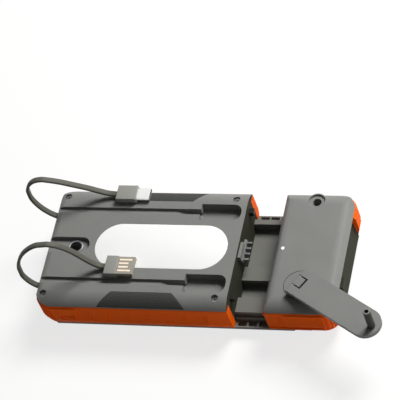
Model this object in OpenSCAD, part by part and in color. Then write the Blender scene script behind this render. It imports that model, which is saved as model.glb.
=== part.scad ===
/* [Casing] */
// Length of the closed unit over the bumper's corners
case_l = 163; // [156:1:178]
// Width over the bumper's corners
case_w = 84; // [82:0.5:92]
// Thickness from the panel face to the lamp face
case_h = 30; // [29:0.5:33]
// Radius of the corners seen from above
corner_r = 11; // [10:0.5:12]
// Wall of the moulded shells
wall = 2.2; // [1.8:0.1:2.5]
// Thickness of the lamp-side deck
deck_t = 2.4; // [2.2:0.1:2.8]
// Height of the solar-side shell
front_h = 6.7; // [6.5:0.1:7.4]
// Radius of the solar-side shell's lower edge
front_r = 6; // [3:0.5:6]
// Radius of the crowned shoulder beside the deck
shoulder_r = 12; // [10.5:0.5:14]
// Width of the crowned shoulder seen from above
shoulder_w = 9; // [8:0.25:9.5]
// Radius of the lamp-side edge at the cable end
end_r = 5.5; // [3:0.5:6]

/* [Bumper] */
// Thickness of the rubber bumper
bumper_t = 6; // [5.5:0.25:7]
// How far the bumper stands out at the corners
bulge = 0.7; // [0.4:0.1:1.2]
// Half width of the bare end between the main bumper's ends
main_end_half = 30; // [24:0.5:32]
// Half width of the bare end between the module bumper's ends
module_end_half = 26; // [22:0.5:28]
// Number of grip grooves round each corner
groove_count = 6; // [3:1:8]
// Width of a grip groove
grip_groove_w = 1.1; // [0.6:0.1:1.6]
// Spacing of the raised bars along the bumper
bar_pitch = 12; // [8:1:18]

/* [Solar panel] */
// Length of the panel
panel_l = 142; // [130:1:146]
// Width of the panel
panel_w = 67; // [60:1:70]
// Thickness of the panel
panel_t = 1.8; // [1.4:0.1:2.2]
// Radius of the panel's corners
panel_r = 5; // [2:0.5:8]

/* [Lamp] */
// Width of the lamp window
lamp_w = 31; // [26:0.5:33]
// Thickness of the lamp's lens
lens_t = 1.4; // [1.1:0.1:1.6]
// Width of the ledge that carries the lens
ledge_w = 1.5; // [1:0.1:2]
// Spacing of the lamp's diodes
led_pitch = 7.5; // [6:0.5:10]

/* [Cable stowage] */
// Width of a cable groove
cable_groove_w = 3.75; // [3.7:0.05:4.2]
// Depth of a cable groove
cable_groove_d = 1.7; // [1.5:0.1:3.2]
// Gap from the lamp window to a cable groove
cable_groove_gap = 7.6; // [6.5:0.1:8.4]
// Length of a plug pocket
pocket_l = 25.2; // [22:0.2:28]
// Depth of a plug pocket
pocket_d = 5.6; // [5:0.1:6.2]
// Width of the wide plug's pocket
wide_pocket_w = 12.4; // [11.4:0.1:13]
// Width of the slim plug's pocket
slim_pocket_w = 11.2; // [10.6:0.1:12]
// Radius of a pocket's closed end
pocket_r = 5; // [3:0.25:5.25]
// Bridge between a pocket and the parting
pocket_bridge = 2.7; // [2.4:0.1:4]

/* [Lanyard] */
// Length of the lanyard recess
lanyard_l = 27.7; // [26:0.1:29]
// Width of the lanyard recess
lanyard_w = 10.4; // [10:0.1:12]
// Depth of the lanyard recess
lanyard_d = 2.6; // [2:0.1:3]
// Radius of the eyelet's hole
eyelet_r = 3.5; // [3:0.1:3.8]

/* [Generator module] */
// Length of the generator module
module_l = 43.5; // [42:0.5:46]
// How far the module is pulled out as shown
slide_out = 21.5; // [15:0.5:26]
// Height of the tray's rails
rail_h = 6.2; // [5.4:0.1:6.6]
// Radius of the module's edge beside the dock
inner_r = 6; // [3:0.5:7]
// Radius of the module's edge at the outer end
outer_r = 8; // [5:0.5:8.5]

/* [Crank] */
// Direction of the crank arm seen from above
crank_angle = -31; // [-80:0.5:30]
// Reach of the knob from the crank's axis
crank_reach = 55.8; // [53.5:0.1:56.4]
// Width of the crank arm
arm_w = 18; // [16:0.5:20]
// Thickness of the crank arm
arm_t = 2.8; // [2.4:0.1:3.4]
// Radius of the crank's hub disc
hub_r = 9.3; // [8.5:0.1:9.6]
// Length of the turning knob
knob_l = 14.8; // [12:0.2:16]
// Radius of the turning knob
knob_r = 2.2; // [1.9:0.1:2.4]

/* [Gear train] */
// Gear module
gear_m = 0.5; // [0.48:0.01:0.54]
// Teeth of the crank's gear
drive_teeth = 32; // [28:1:34]
// Teeth of both small gears
pinion_teeth = 10; // [10:1:12]
// Teeth of the idler's large gear
idler_teeth = 40; // [32:1:42]
// Radius of the generator can
can_r = 8.5; // [7:0.1:8.7]

/* [Fits] */
// Clearance between moving pieces
gap = 0.3; // [0.25:0.05:0.4]
// Radial clearance of a running shaft
run = 0.05; // [0.02:0.01:0.08]
// Clearance of a seated piece
seat = 0.03; // [0.02:0.01:0.05]

/* [Hidden] */
$fn = 48;
eps = 1;

// Plan of the casing
left = -case_l / 2;
right = case_l / 2;
part_x = right - module_l;
half_w = case_w / 2;
waist_half = half_w - bulge;
rim_step = 0.3;
rim_half = waist_half - rim_step;
core_half = half_w - bumper_t;
core_r = corner_r - bumper_t;
cavity_half = core_half - wall;
core_left = left + bumper_t;
end_in = 1.5;
end_left = left + end_in;
end_u = module_l - end_in;
rim_in = 0.5;
shell_in = 2.9;
shell_half = half_w - shell_in;
shell_round = 1;
shell_r = corner_r - shell_round;
corner_gap = 0.3;
shell_diagonal = (right - shell_in + shell_half - 2 * shell_r) / sqrt(2) + shell_r + corner_gap;

// Heights of the casing
roof_z = case_h - deck_t;
shoulder_y = rim_half - shoulder_w;
shoulder_lip = 0.5;
lip_z = case_h - shoulder_r + sqrt(shoulder_r * shoulder_r - shoulder_w * shoulder_w) - shoulder_lip;
floor_t = 1.7;
floor_z = panel_t + seat + floor_t;
bumper_z0 = front_h + seat;
bumper_z1 = lip_z - seat;
flank_in = 2.1;
flank_out = 0.9;
flank_h = 9.2;
main_bulge_l = 14.5;
module_bulge_l = 21;
bulge_drop = 1.2;

// Bars and grooves of the bumper: first angle and step of the grooves round a corner
bar_w = 1;
bar_h = 0.5;
bar_half = 4;
bar_in = [22, 6];
module_bar_u = 7;
groove_floor = 0.1;
groove_cut = 2;
groove_rim = 2.4;
main_grooves = [96, 10];
module_grooves = [14, 15];

// Lanyard recess, lamp window and cable stowage, placed from the ends inwards
lanyard_x = left + lanyard_l;
eyelet_wall = 0.6;
eyelet_rim = 0.7;
eyelet_rim_h = 0.4;
eyelet_tube_h = 0.3;
eyelet_in = 9.5;
eyelet_x = lanyard_x - eyelet_in;
lanyard_z = case_h - lanyard_d;
bar_t = 2.2;
tunnel_h = 5.2;
tunnel_clear = 0.3;
tunnel_half = eyelet_r + eyelet_wall + tunnel_clear;
tunnel_z1 = lanyard_z - bar_t;
tunnel_z0 = tunnel_z1 - tunnel_h;
lamp_gap = 3.6;
lamp_margin = 6.4;
lamp_x0 = lanyard_x + lamp_gap;
lamp_x1 = part_x - lamp_margin;
groove_y = lamp_w / 2 + cable_groove_gap + cable_groove_w / 2;
pocket_x1 = part_x - pocket_bridge;
pocket_x0 = pocket_x1 - pocket_l;
ramp_l = 15;

// Lamp board under the deck, and the battery stack on the shell's floor
lamp_board_z1 = roof_z - seat;
lamp_board_t = 1.2;
led_size = [2.8, 2.8, 0.38];
led_lift = 0.2;
led_margin = 6;
cell_gap = 0.8;
cell_in = 2;
cell_r = 2.5;
cell_x0 = core_left + wall + cell_gap + cell_in;
cell_x1 = part_x - wall - cell_gap;
cell_side = 2.8;
cell_half = cavity_half - cell_side;
cell_h = 8.6;
carrier_z = floor_z + seat + cell_h + seat;
carrier_t = 1;
board_t = 1.2;
carrier_hole_l = 12;
carrier_rim = 8;
carrier_holes = 3;
board_half = 24;
board_hole_r = 1.2;
board_hole_in = 4;
board_part_h = 1.6;
board_parts = [[-20, 8, 7, 7], [-2, -9, 6, 6], [14, 10, 9, 6], [26, -8, 5, 8]];

// Screws of the main casing
screw_r = 1;
screw_head_r = 2;
screw_head_h = 1.4;
screw_sink = 3.4;
post_r = 1.8;
screw_clear = 0.15;
head_clear = 0.25;
screw_tip = 1;
slot_size = [2.4, 0.5, 1.2];
slot_up = 0.3;
slot_turn = 20;
screw_out = 2.6;
screw_in = [6.2, 7.5];
screw_y = shoulder_y + screw_out;
screw_xs = [left + screw_in[0], part_x - screw_in[1]];
cover_screw_spots = [for (x = screw_xs, s = [-1, 1]) [x, s * screw_y]];

// Grip pads on the shoulders
pad_t = 0.8;
pad_x = -14.6;
pad_top_half = 18.6;
pad_bottom_half = 28.3;
pad_in = 0.2;
pad_lip = 0.4;

// Cable ends
gland_w = 6.4;
gland_h = 4.4;
gland_l = 6;
gland_drop = 8;
gland_z = case_h - gland_drop;
cord_w = 3.6;
cord_t = 1.8;

// Tray, rails and the module's runner
tray_drop = 0.9;
tray_z = front_h - tray_drop;
lip_drop = 0.4;
rail_z = tray_z + rail_h;
rail_stop = 0.5;
rail_x1 = right - bumper_t - wall - rail_stop;
near_rail = [-32.4, -22.4];
mid_rail = [-10.5, -1];
far_rail = [29.2, 32.6];
rail_overhang = 1.2;
rail_head = 1.8;
step_h = 3;
step_z = tray_z + step_h;
vent_in = [4.7, 0.9];
vent_y0 = shell_half - vent_in[0];
vent_y1 = shell_half - vent_in[1];
vent_pitch = 6.3;
vent_w = 5.2;
vent_start = 1.5;
vent_d = 2.4;

// Heights inside the module
base_t = 1.6;
base_z = rail_z + gap;
base_top = base_z + base_t;
skirt_z = step_z + gap;
end_z = front_h + gap;
draft = 2;
base_clear = 0.2;
base_step = 1;
base_u1 = end_u - wall - draft * base_top / lip_z - base_clear;
inner_corner_r = 2;
boss_wall = 1.4;
recess_floor = 1.8;
can_collar = 3.5;
screw_stop = 2;

// Gear train along the module's width
function pitch_r(n) = n * gear_m / 2;
tip = 0.95 * gear_m;
root = 1.25 * gear_m;
drive_tip_r = pitch_r(drive_teeth) + tip;
crank_u = 20;
crank_in = 1.2;
crank_y = -(cavity_half - crank_in - drive_tip_r);
idler_y = crank_y + pitch_r(drive_teeth) + pitch_r(pinion_teeth);
rotor_y = idler_y + pitch_r(idler_teeth) + pitch_r(pinion_teeth);
idler_lift = 0.5;
idler_z = base_top + idler_lift;
wheel_t = 2.2;
clip_t = 0.7;
clip_w = 1.4;
clip_mouth = 0.7;
clip_groove = 0.45;
clip_in = 0.3;
clip_play = 0.05;
shaft_flat = 0.5;
shaft_clear = 0.6;
shaft_end_z = idler_z + wheel_t + shaft_clear;
clip_z = shaft_end_z + clip_in;
drive_z = clip_z + clip_t + clip_play;
drive_t = 2.5;
idler_over = 0.4;
idler_top = drive_z + drive_t + idler_over;
axle_r = 1;
axle_over = 0.8;
axle_boss_r = 3;
axle_boss_h = 0.2;
axle_z1 = idler_top + axle_over;
can_lift = 0.8;
can_z0 = idler_z + wheel_t + can_lift;
can_z1 = roof_z - seat;
can_t = 0.8;
can_spigot = 0.6;
rotor_shaft_r = 0.75;
coil_t = 1.6;
coil_r0 = can_r - can_t - coil_t;
coil_in = [1, 0.5];
coil_z0 = can_z0 + can_t + coil_in[0];
coil_z1 = can_z1 - can_t - coil_in[1];

// Crank hub, arm and knob
disc_t = 2;
disc_z0 = case_h - disc_t;
shaft_r = 2.5;
bush_r = 4;
boss_r = bush_r + wall;
bush_flange = 1.2;
bush_flange_t = 0.8;
arm_lift = 1.6;
arm_z0 = case_h + arm_lift;
hinge_z = arm_z0 + arm_t / 2;
hinge_r = 0.8;
hinge_back = 1.2;
hinge_pin_in = 1.2;
lug_w = 6;
lug_gap = 0.8;
lug_l = 3.4;
notch_w = lug_w + 2 * lug_gap;
notch_l = 4.6;
tip_over = 4.4;
arm_tip = crank_reach + tip_over;
store_wall = 1.4;
store_clear = 0.4;
store_r = knob_r + store_clear;
store_y = crank_y + crank_reach + 2 * hinge_back;
store_sink_r = 5;
store_sink_d = 1.4;
store_sink_z = case_h - store_sink_d;
store_rim_w = 0.7;
store_rim_drop = 0.4;
store_rim_r = store_sink_r + store_rim_w;
store_rim_z = case_h - store_rim_drop;
knob_z0 = arm_z0 + arm_t + gap;
knob_pin_r = 0.8;
knob_head_r = 1.15;
knob_head_h = 0.8;
knob_seat_d = 2.3;
knob_seat_z = knob_z0 + knob_l - knob_seat_d;

// Dock between the main casing and the module
dock_y = 0.6;
dock_w = 10.8;
socket_wall = 1.2;
dock_h = 3.6;
dock_drop = 2.6;
dock_z1 = case_h - dock_drop;
dock_z0 = dock_z1 - dock_h;
dock_out = 1.7;
dock_in = 4;
comb_y = 4;
comb_w = 15;
comb_h = 3;
comb_z1 = dock_z0 - socket_wall - 2 * gap;
comb_z0 = comb_z1 - comb_h;
comb_out = 1.6;
contact_count = 4;
contact_pitch = 3.8;
contact_out = 4.9;
contact_t = 1.1;
contact_back = 1;
contact_rim = 0.6;
socket_l = contact_out + 2 * gap + socket_wall;
peg_y = 30;
peg_w = 3.4;
peg_h = 3.2;
peg_out = 2.8;
peg_bevel = 1.4;
peg_drop = 8.4;
peg_z = case_h - peg_drop;
peg_flange = 0.8;
peg_flange_z = case_h - pocket_d - wall - seat;

// Button at the module's outer end
button_y = -15;
button_rise = 3.4;
button_z = base_top + button_rise;
button_w = 7;
button_h = 4;
button_out = 1.1;
button_travel = 0.8;
button_flange = 0.9;
button_tail = 2.2;
button_flange_w = 1;
button_tail_half = 1.5;
button_wall_u = end_u - draft - wall;
button_back_u = button_wall_u - gap - button_flange - button_tail;
switch_gap = 0.1;
switch_l = 2;
switch_half = 2;
switch_over = 3;
switch_foot = [1.5, 1.6, 0.8];
switch_u1 = button_back_u - button_travel - switch_gap;

// Charging board of the module and the light pipe of its indicator
board_clear = 1;
module_board_gap = 2.5;
module_board_w = 19.2;
module_board_l = 25;
board_y0 = rotor_y + can_r + module_board_gap;
board_y1 = board_y0 + module_board_w;
board_u0 = socket_l + gap;
board_u1 = board_u0 + module_board_l;
chips = 3;
chip_in = 5;
chip_pitch = 7.5;
chip_w = 4;
chip_l = 5;
chip_h = 2.2;
light_u = 5.5;
light_y = 0.8;
light_r = 0.9;

// Screws of the module, driven from below
module_post_r = 2.4;
module_screw_spots = [[5.5, -17], [5.5, 17], [32.5, -20], [32.5, 20]];

// Routes of the two flat cables, from the casing to the plug
usb_route = [
    [-80, -25, 22], [-84, -25, 24], [-87.5, -24.8, 28.5], [-89.5, -24.5, 34], [-89.5, -24, 40],
    [-87.5, -23.6, 46.5], [-83.5, -23, 53], [-78, -22.3, 58], [-72.5, -21.5, 60.5], [-67, -20.8, 60.5],
    [-62, -19.9, 58.1], [-57.8, -18.9, 54], [-54, -18, 48.5], [-50.5, -17.2, 42], [-47, -16.7, 36.6],
    [-43.2, -16.5, 33.1], [-39.1, -16.4, 32.2]
];
slim_route = [
    [-80, 25, 22], [-84.5, 25, 24.5], [-89, 25.3, 29], [-92.3, 25.7, 34.5], [-94.2, 26.2, 40.5],
    [-94.3, 26.8, 46.5], [-92.3, 27.4, 51.3], [-88.5, 28, 54.5], [-84, 28.7, 55.2], [-79.5, 29.5, 53.5],
    [-73.6, 30.7, 50.2], [-66.8, 32.2, 45.3], [-59.8, 33.7, 40.2], [-54, 34.6, 36], [-48.6, 35.1, 33],
    [-43.2, 35.2, 32.2]
];

// Plugs lying on the deck at the cables' ends
plug_t = 4.4;
plug_lift = 0.02;
plug_z0 = case_h + plug_lift;
usb_end = usb_route[len(usb_route) - 1];
slim_end = slim_route[len(slim_route) - 1];
usb_body_l = 7.5;
usb_body_w = 12.9;
usb_tongue_l = 10.2;
usb_tongue_w = 12;
usb_tongue_t = 2.4;
usb_tongue_drop = 0.5;
usb_tongue_z = plug_z0 + plug_t - usb_tongue_t - usb_tongue_drop;
usb_contacts = 4;
usb_contact_x0 = 0.9;
usb_contact_x1 = [8.6, 6.8];
usb_contact_pitch = 2.5;
usb_contact_w = 1.2;
usb_contact_t = 0.15;
slim_body_l = 12.6;
slim_body_w = 10.2;
slim_shell_l = 8;
slim_shell_w = 8.3;
slim_shell_t = 2.6;
slim_shell_wall = 0.3;
slim_shell_back = 1;
slim_tongue = [6.4, 6.6, 0.7];

grey = "#7b7b77";
dark = "#4c4c46";
orange = "#f0640c";
black = "#232322";
steel = "#c6c8ca";
green = "#2c5a3c";
brass = "#c8a24a";

// Plan outline between x0 and x1 with its own corner radius at each end
module outline(x0, x1, half, r0, r1) {
    translate([x0 + r0, -half]) square([x1 - r1 - x0 - r0, 2 * half]);
    for (e = [[x0, r0, 1], [x1, r1, -1]]) {
        if (e[1] > 0) {
            if (half > e[1]) {
                translate([min(e[0], e[0] + e[2] * e[1]), -half + e[1]]) square([e[1], 2 * (half - e[1])]);
                for (s = [-1, 1]) translate([e[0] + e[2] * e[1], s * (half - e[1])]) circle(e[1]);
            } else {
                translate([e[0] + e[2] * half, 0]) circle(half);
            }
        }
    }
}

module slab(x0, x1, half, r0, r1, z0, z1) {
    translate([0, 0, z0]) linear_extrude(z1 - z0) outline(x0, x1, half, r0, r1);
}

// Block given by its limits
module block(x, y, z) {
    translate([x[0], y[0], z[0]]) cube([x[1] - x[0], y[1] - y[0], z[1] - z[0]]);
}

// Upright rod or hole given by its radius and heights
module rod(x, y, r, z0, z1) {
    translate([x, y, z0]) cylinder(r = r, h = z1 - z0);
}

// Prism along the length whose upper edges are the crowned shoulders, drawn in by inset
module shoulder_prism(x0, x1, inset) {
    r = shoulder_r - inset;
    z = case_h - shoulder_r;
    translate([x0, 0, 0]) rotate([90, 0, 90]) linear_extrude(x1 - x0) {
        translate([-shoulder_y, 0]) square([2 * shoulder_y, case_h - inset]);
        translate([-shoulder_y - r, 0]) square([2 * (shoulder_y + r), z]);
        for (s = [-1, 1]) translate([s * shoulder_y, z]) circle(r);
    }
}

// Prism across the width with rounded upper edges at its two ends
module end_prism(x0, x1, r0, r1) {
    translate([0, half_w, 0]) rotate([90, 0, 0]) linear_extrude(2 * half_w) {
        translate([x0 + r0, 0]) square([x1 - r1 - x0 - r0, case_h]);
        for (e = [[x0, r0, 1], [x1, r1, -1]]) {
            if (e[1] > 0) {
                translate([min(e[0], e[0] + e[2] * e[1]), 0]) square([e[1], case_h - e[1]]);
                translate([e[0] + e[2] * e[1], case_h - e[1]]) circle(e[1]);
            }
        }
    }
}

// Lamp outline with half-round ends, drawn in by inset
module lamp_outline(inset) {
    r = lamp_w / 2 - inset;
    outline(lamp_x0 + inset, lamp_x1 - inset, r, r, r);
}

// Moves a piece of the module from the closed to the shown position
module in_module() {
    translate([slide_out + part_x, 0, 0]) children();
}

// Places a piece of the crank on its axis
module on_crank() {
    in_module() translate([crank_u, crank_y, 0]) rotate(crank_angle) children();
}

// Spur gear with straight-sided teeth, one tooth pointing along the phase angle
module spur(n, phase, t) {
    marks = [[-0.3, -root], [-0.2, 0], [-0.08, tip], [0.08, tip], [0.2, 0], [0.3, -root]];
    linear_extrude(t) polygon([
        for (i = [0 : n - 1], k = marks)
            let (a = phase + 360 / n * (i + k[0]), r = pitch_r(n) + k[1])
                [r * cos(a), r * sin(a)]
    ]);
}

// Solid swept along a route with a flat, eight-sided section
function unit(v) = v / norm(v);
function heading(p, i) = unit(p[min(i + 1, len(p) - 1)] - p[max(i - 1, 0)]);
function end_heading(p, i) = i == 0 ? [-1, 0, 0] : i == len(p) - 1 ? [1, 0, 0] : heading(p, i);
function cord_ring(c, t) =
    let (side = unit([0, 1, 0] - t[1] * t), up = cross(t, side), w = cord_w / 2, h = cord_t / 2, k = 0.45)
        [for (q = [[1, k], [1 - k / 2, 1], [-1 + k / 2, 1], [-1, k],
            [-1, -k], [-1 + k / 2, -1], [1 - k / 2, -1], [1, -k]]) c + q[0] * w * side + q[1] * h * up];
module flat_cord(route) {
    n = len(route);
    points = [for (i = [0 : n - 1]) each cord_ring(route[i], end_heading(route, i))];
    sides = [for (i = [0 : n - 2], j = [0 : 7]) let (a = 8 * i + j, b = 8 * i + (j + 1) % 8)
        each [[a, b, b + 8], [a, b + 8, a + 8]]];
    caps = [for (j = [1 : 6]) each [[0, j + 1, j], [8 * n - 8, 8 * n - 8 + j, 8 * n - 7 + j]]];
    polyhedron(points, concat(sides, caps));
}

// Pieces of the main casing

module front_shell() color(dark) {
    difference() {
        union() {
            difference() {
                intersection() {
                    slab(left + shell_in, right - shell_in, shell_half, shell_r, shell_r, 0, front_h);
                    front_edges();
                }
                block([part_x, right + eps], [-half_w, half_w], [front_h - lip_drop, front_h + eps]);
                block([part_x, right + eps], [-vent_y0, vent_y0], [tray_z, front_h + eps]);
            }
            tray_rails();
        }
        slab(-panel_l / 2 - seat, panel_l / 2 + seat, panel_w / 2 + seat, panel_r, panel_r,
            -eps, panel_t + seat);
        slab(core_left + wall, part_x - wall, cavity_half, core_r, 0, floor_z, front_h + eps);
        for (p = cover_screw_spots) rod(p[0], p[1], screw_r + seat, floor_z, front_h + eps);
        tray_vents();
    }
}

// The solar side's rounded lower edges, as prisms that cross along the sides and across the corners
module front_edges() {
    intersection() {
        translate([left, 0, 0]) rotate([90, 0, 90]) linear_extrude(case_l) lower_round(shell_half);
        translate([0, half_w, 0]) rotate([90, 0, 0]) linear_extrude(2 * half_w) lower_round(right - shell_in);
        corner_edges(45);
        corner_edges(-45);
    }
}

// Prism across two opposite corners, just outside their round plan
module corner_edges(turn) {
    rotate(turn) translate([-case_l, 0, 0]) rotate([90, 0, 90]) linear_extrude(2 * case_l)
        lower_round(shell_diagonal);
}

module lower_round(half) {
    translate([-half, front_r]) square([2 * half, front_h]);
    translate([-half + front_r, 0]) square([2 * (half - front_r), front_h + front_r]);
    for (s = [-1, 1]) translate([s * (half - front_r), front_r]) circle(front_r);
}

// Guide rails of the tray: the middle one is a T, and a step stands outside each outer one
module tray_rails() {
    x = [part_x, rail_x1];
    low = tray_z - seat;
    for (y = [near_rail, far_rail]) block(x, y, [low, rail_z]);
    block(x, [mid_rail[0] + rail_overhang, mid_rail[1] - rail_overhang], [low, rail_z]);
    block(x, mid_rail, [rail_z - rail_head, rail_z]);
    for (s = [-1, 1]) block(x, s > 0 ? [far_rail[1], vent_y0] : [-vent_y0, near_rail[0]], [low, step_z]);
}

module tray_vents() {
    for (s = [-1, 1], x = [part_x + vent_start : vent_pitch : right - shell_in - shell_r - vent_w])
        block([x, x + vent_w], s > 0 ? [vent_y0, vent_y1] : [-vent_y1, -vent_y0],
            [front_h - vent_d, front_h + eps]);
}

module solar_panel() color("#4a4150")
    slab(-panel_l / 2, panel_l / 2, panel_w / 2, panel_r, panel_r, 0, panel_t);

// Outer form of the lamp-side cover
module cover_form() {
    intersection() {
        slab(left + rim_in, part_x, rim_half, corner_r, 0, lip_z, case_h);
        shoulder_prism(left, part_x, 0);
        end_prism(left + rim_in, part_x, end_r, 0);
    }
}

module cover_core() {
    slab(core_left, part_x, core_half, core_r, 0, front_h, lip_z + seat);
    block([end_left, core_left + core_r], [-main_end_half + seat, main_end_half - seat],
        [front_h, lip_z + seat]);
    for (p = cover_screw_spots) rod(p[0], p[1], post_r, front_h, lip_z + seat);
}

// Hollow of the main casing, less the walls under the stowage
module cover_hollow() {
    difference() {
        union() {
            slab(core_left + wall, part_x - wall, cavity_half, core_r, 0, front_h - eps, roof_z);
            block([end_left + wall, core_left + wall + core_r], [-main_end_half + wall, main_end_half - wall],
                [front_h - eps, roof_z]);
        }
        for (s = [-1, 1]) {
            stowage_wall(s, left, pocket_x0, cable_groove_w, cable_groove_d);
            stowage_wall(s, pocket_x0 - ramp_l, pocket_x1, pocket_w(s), pocket_d);
        }
        block([left, eyelet_x + tunnel_half + wall], [-tunnel_half - wall, tunnel_half + wall],
            [tunnel_z0 - wall, roof_z + eps]);
        block([left, lanyard_x + wall], [-lanyard_w / 2 - wall, lanyard_w / 2 + wall],
            [lanyard_z - bar_t, roof_z + eps]);
        for (p = cover_screw_spots) rod(p[0], p[1], post_r, front_h - 2 * eps, roof_z + eps);
    }
}

function pocket_w(s) = s < 0 ? wide_pocket_w : slim_pocket_w;

module stowage_wall(s, x0, x1, w, d) {
    block([x0 - wall, x1 + wall], [s * groove_y - w / 2 - wall, s * groove_y + w / 2 + wall],
        [case_h - d - wall, roof_z + eps]);
}

// Grooves, ramps and pockets for the stowed cables
module stowage_cuts() {
    for (s = [-1, 1]) translate([0, s * groove_y, 0]) {
        block([left - eps, pocket_x0 + eps], [-cable_groove_w / 2, cable_groove_w / 2],
            [case_h - cable_groove_d, case_h + eps]);
        translate([0, cable_groove_w / 2, 0]) rotate([90, 0, 0]) linear_extrude(cable_groove_w) polygon([
            [pocket_x0 - ramp_l, case_h + eps], [pocket_x0 - ramp_l, case_h - cable_groove_d],
            [pocket_x0 + eps, case_h - pocket_d], [pocket_x0 + eps, case_h + eps]
        ]);
        slab(pocket_x0, pocket_x1, pocket_w(s) / 2, 0, pocket_r, case_h - pocket_d, case_h + eps);
    }
}

module lanyard_cuts() {
    r = lanyard_w / 2;
    slab(left - eps, lanyard_x, r, 0, r, lanyard_z, case_h + eps);
    rod(eyelet_x, 0, eyelet_r + eyelet_wall + seat, tunnel_z0, case_h);
    block([left - eps, eyelet_x + tunnel_half], [-tunnel_half, tunnel_half], [tunnel_z0, tunnel_z1]);
}

module screw_cuts() {
    for (p = cover_screw_spots) {
        rod(p[0], p[1], screw_head_r + head_clear, case_h - screw_sink, case_h + eps);
        rod(p[0], p[1], screw_r + screw_clear, front_h - eps, case_h);
    }
}

module pad_plan(s, grow) {
    polygon([
        [pad_x - pad_top_half - grow, s * (shoulder_y + pad_in - grow)],
        [pad_x + pad_top_half + grow, s * (shoulder_y + pad_in - grow)],
        [pad_x + pad_bottom_half + grow, s * (rim_half + eps)],
        [pad_x - pad_bottom_half - grow, s * (rim_half + eps)]
    ]);
}

// Openings of the end wall for the dock, and of the cable end for the glands
module wall_cuts() {
    x = [part_x - wall - eps, part_x + eps];
    block(x, [dock_y - dock_w / 2 - seat, dock_y + dock_w / 2 + seat], [dock_z0 - seat, dock_z1 + seat]);
    block(x, [comb_y - comb_w / 2 - seat, comb_y + comb_w / 2 + seat], [comb_z0 - seat, comb_z1 + seat]);
    for (s = [-1, 1]) {
        block(x, [s * peg_y - peg_w / 2 - seat, s * peg_y + peg_w / 2 + seat],
            [peg_z - seat, peg_z + peg_h + seat]);
        block([left - eps, end_left + gland_l + eps],
            [s * groove_y - gland_w / 2 - seat, s * groove_y + gland_w / 2 + seat],
            [gland_z - gland_h / 2 - seat, gland_z + gland_h / 2 + seat]);
    }
}

module rear_cover() color(grey) {
    difference() {
        union() {
            cover_form();
            cover_core();
        }
        cover_hollow();
        translate([0, 0, case_h - lens_t - seat]) linear_extrude(lens_t + eps) lamp_outline(-seat);
        translate([0, 0, roof_z - eps]) linear_extrude(deck_t) lamp_outline(ledge_w);
        stowage_cuts();
        lanyard_cuts();
        screw_cuts();
        pad_shells(seat);
        wall_cuts();
    }
}

// Thin patches that follow the shoulders, grown for their recess
module pad_shells(grow) {
    for (s = [-1, 1]) difference() {
        intersection() {
            shoulder_prism(pad_x - pad_bottom_half - eps, pad_x + pad_bottom_half + eps, 0);
            translate([0, 0, lip_z + pad_lip]) linear_extrude(case_h) pad_plan(s, grow);
            block([left, right], [-rim_half, rim_half], [0, case_h + eps]);
        }
        shoulder_prism(left, right, pad_t + grow);
    }
}

module grip_pads() color(black) pad_shells(0);

// Band between two plan outlines, with thicker corners and flanks drawn in towards the panel side
module bumper_band(x0, x1, r0, r1, corner_x) {
    difference() {
        intersection() {
            union() {
                slab(x0 + bulge * sign(r0), x1 - bulge * sign(r1), waist_half, r0, r1, bumper_z0, bumper_z1);
                intersection() {
                    slab(x0, x1, half_w, r0 + bulge * sign(r0), r1 + bulge * sign(r1),
                        bumper_z0, bumper_z1);
                    block(corner_x, [-half_w - eps, half_w + eps], [bumper_z0, bumper_z1 - bulge_drop]);
                }
            }
            translate([x0 - eps, 0, 0]) rotate([90, 0, 90]) linear_extrude(x1 - x0 + 2 * eps)
                flank_outline(-half_w, half_w, 1, 1);
            translate([0, half_w + eps, 0]) rotate([90, 0, 0]) linear_extrude(2 * (half_w + eps))
                flank_outline(x0, x1, sign(r0), sign(r1));
        }
        slab(x0 + (r0 > 0 ? bumper_t - seat : -eps), x1 - (r1 > 0 ? bumper_t - seat : -eps),
            core_half + seat, core_r * sign(r0), core_r * sign(r1), 0, case_h);
    }
}

// Upright section of the band between two limits, drawn in below where a limit is marked 1
module flank_outline(a, b, mark_a, mark_b) {
    polygon([
        [a + flank_in * mark_a, bumper_z0], [a - flank_out, bumper_z0 + flank_h], [a - flank_out, bumper_z1],
        [b + flank_out, bumper_z1], [b + flank_out, bumper_z0 + flank_h], [b - flank_in * mark_b, bumper_z0]
    ]);
}

// Raised bars across the band, from x0 to x1
module bumper_bars(x0, x1) {
    z = (bumper_z0 + bumper_z1) / 2;
    for (x = [x0 : bar_pitch : x1], s = [-1, 1])
        block([x, x + bar_w],
            s > 0 ? [waist_half - seat, waist_half + bar_h] : [-waist_half - bar_h, -waist_half + seat],
            [z - bar_half, z + bar_half]);
}

// Upright grip grooves fanned round the corner centred at x
module corner_grooves(x, fan) {
    for (s = [-1, 1], i = [0 : groove_count - 1])
        translate([x, s * (half_w - corner_r), 0]) rotate(s * (fan[0] + i * fan[1]))
            translate([corner_r + groove_floor, -grip_groove_w / 2, bumper_z0 + groove_rim])
                cube([groove_cut, grip_groove_w, bumper_z1 - bumper_z0 - 2 * groove_rim]);
}

module main_bumper() color(orange) {
    difference() {
        union() {
            bumper_band(left, part_x, corner_r, 0, [left - eps, left + corner_r + main_bulge_l]);
            bumper_bars(left + corner_r + bar_in[0], part_x - bar_in[1]);
        }
        block([left - eps, core_left + core_r], [-main_end_half, main_end_half], [0, case_h]);
        for (p = cover_screw_spots) rod(p[0], p[1], post_r + seat, 0, case_h);
        corner_grooves(left + corner_r, main_grooves);
    }
}

module cover_screws() color(steel)
    for (p = cover_screw_spots) {
        z = case_h - screw_sink + seat;
        difference() {
            rod(p[0], p[1], screw_head_r, z, z + screw_head_h);
            for (a = [0, 90]) translate([p[0], p[1], z + screw_head_h - slot_up]) rotate(a + slot_turn)
                cube(slot_size, center = true);
        }
        rod(p[0], p[1], screw_r, floor_z + screw_tip, z + seat);
    }

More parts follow.
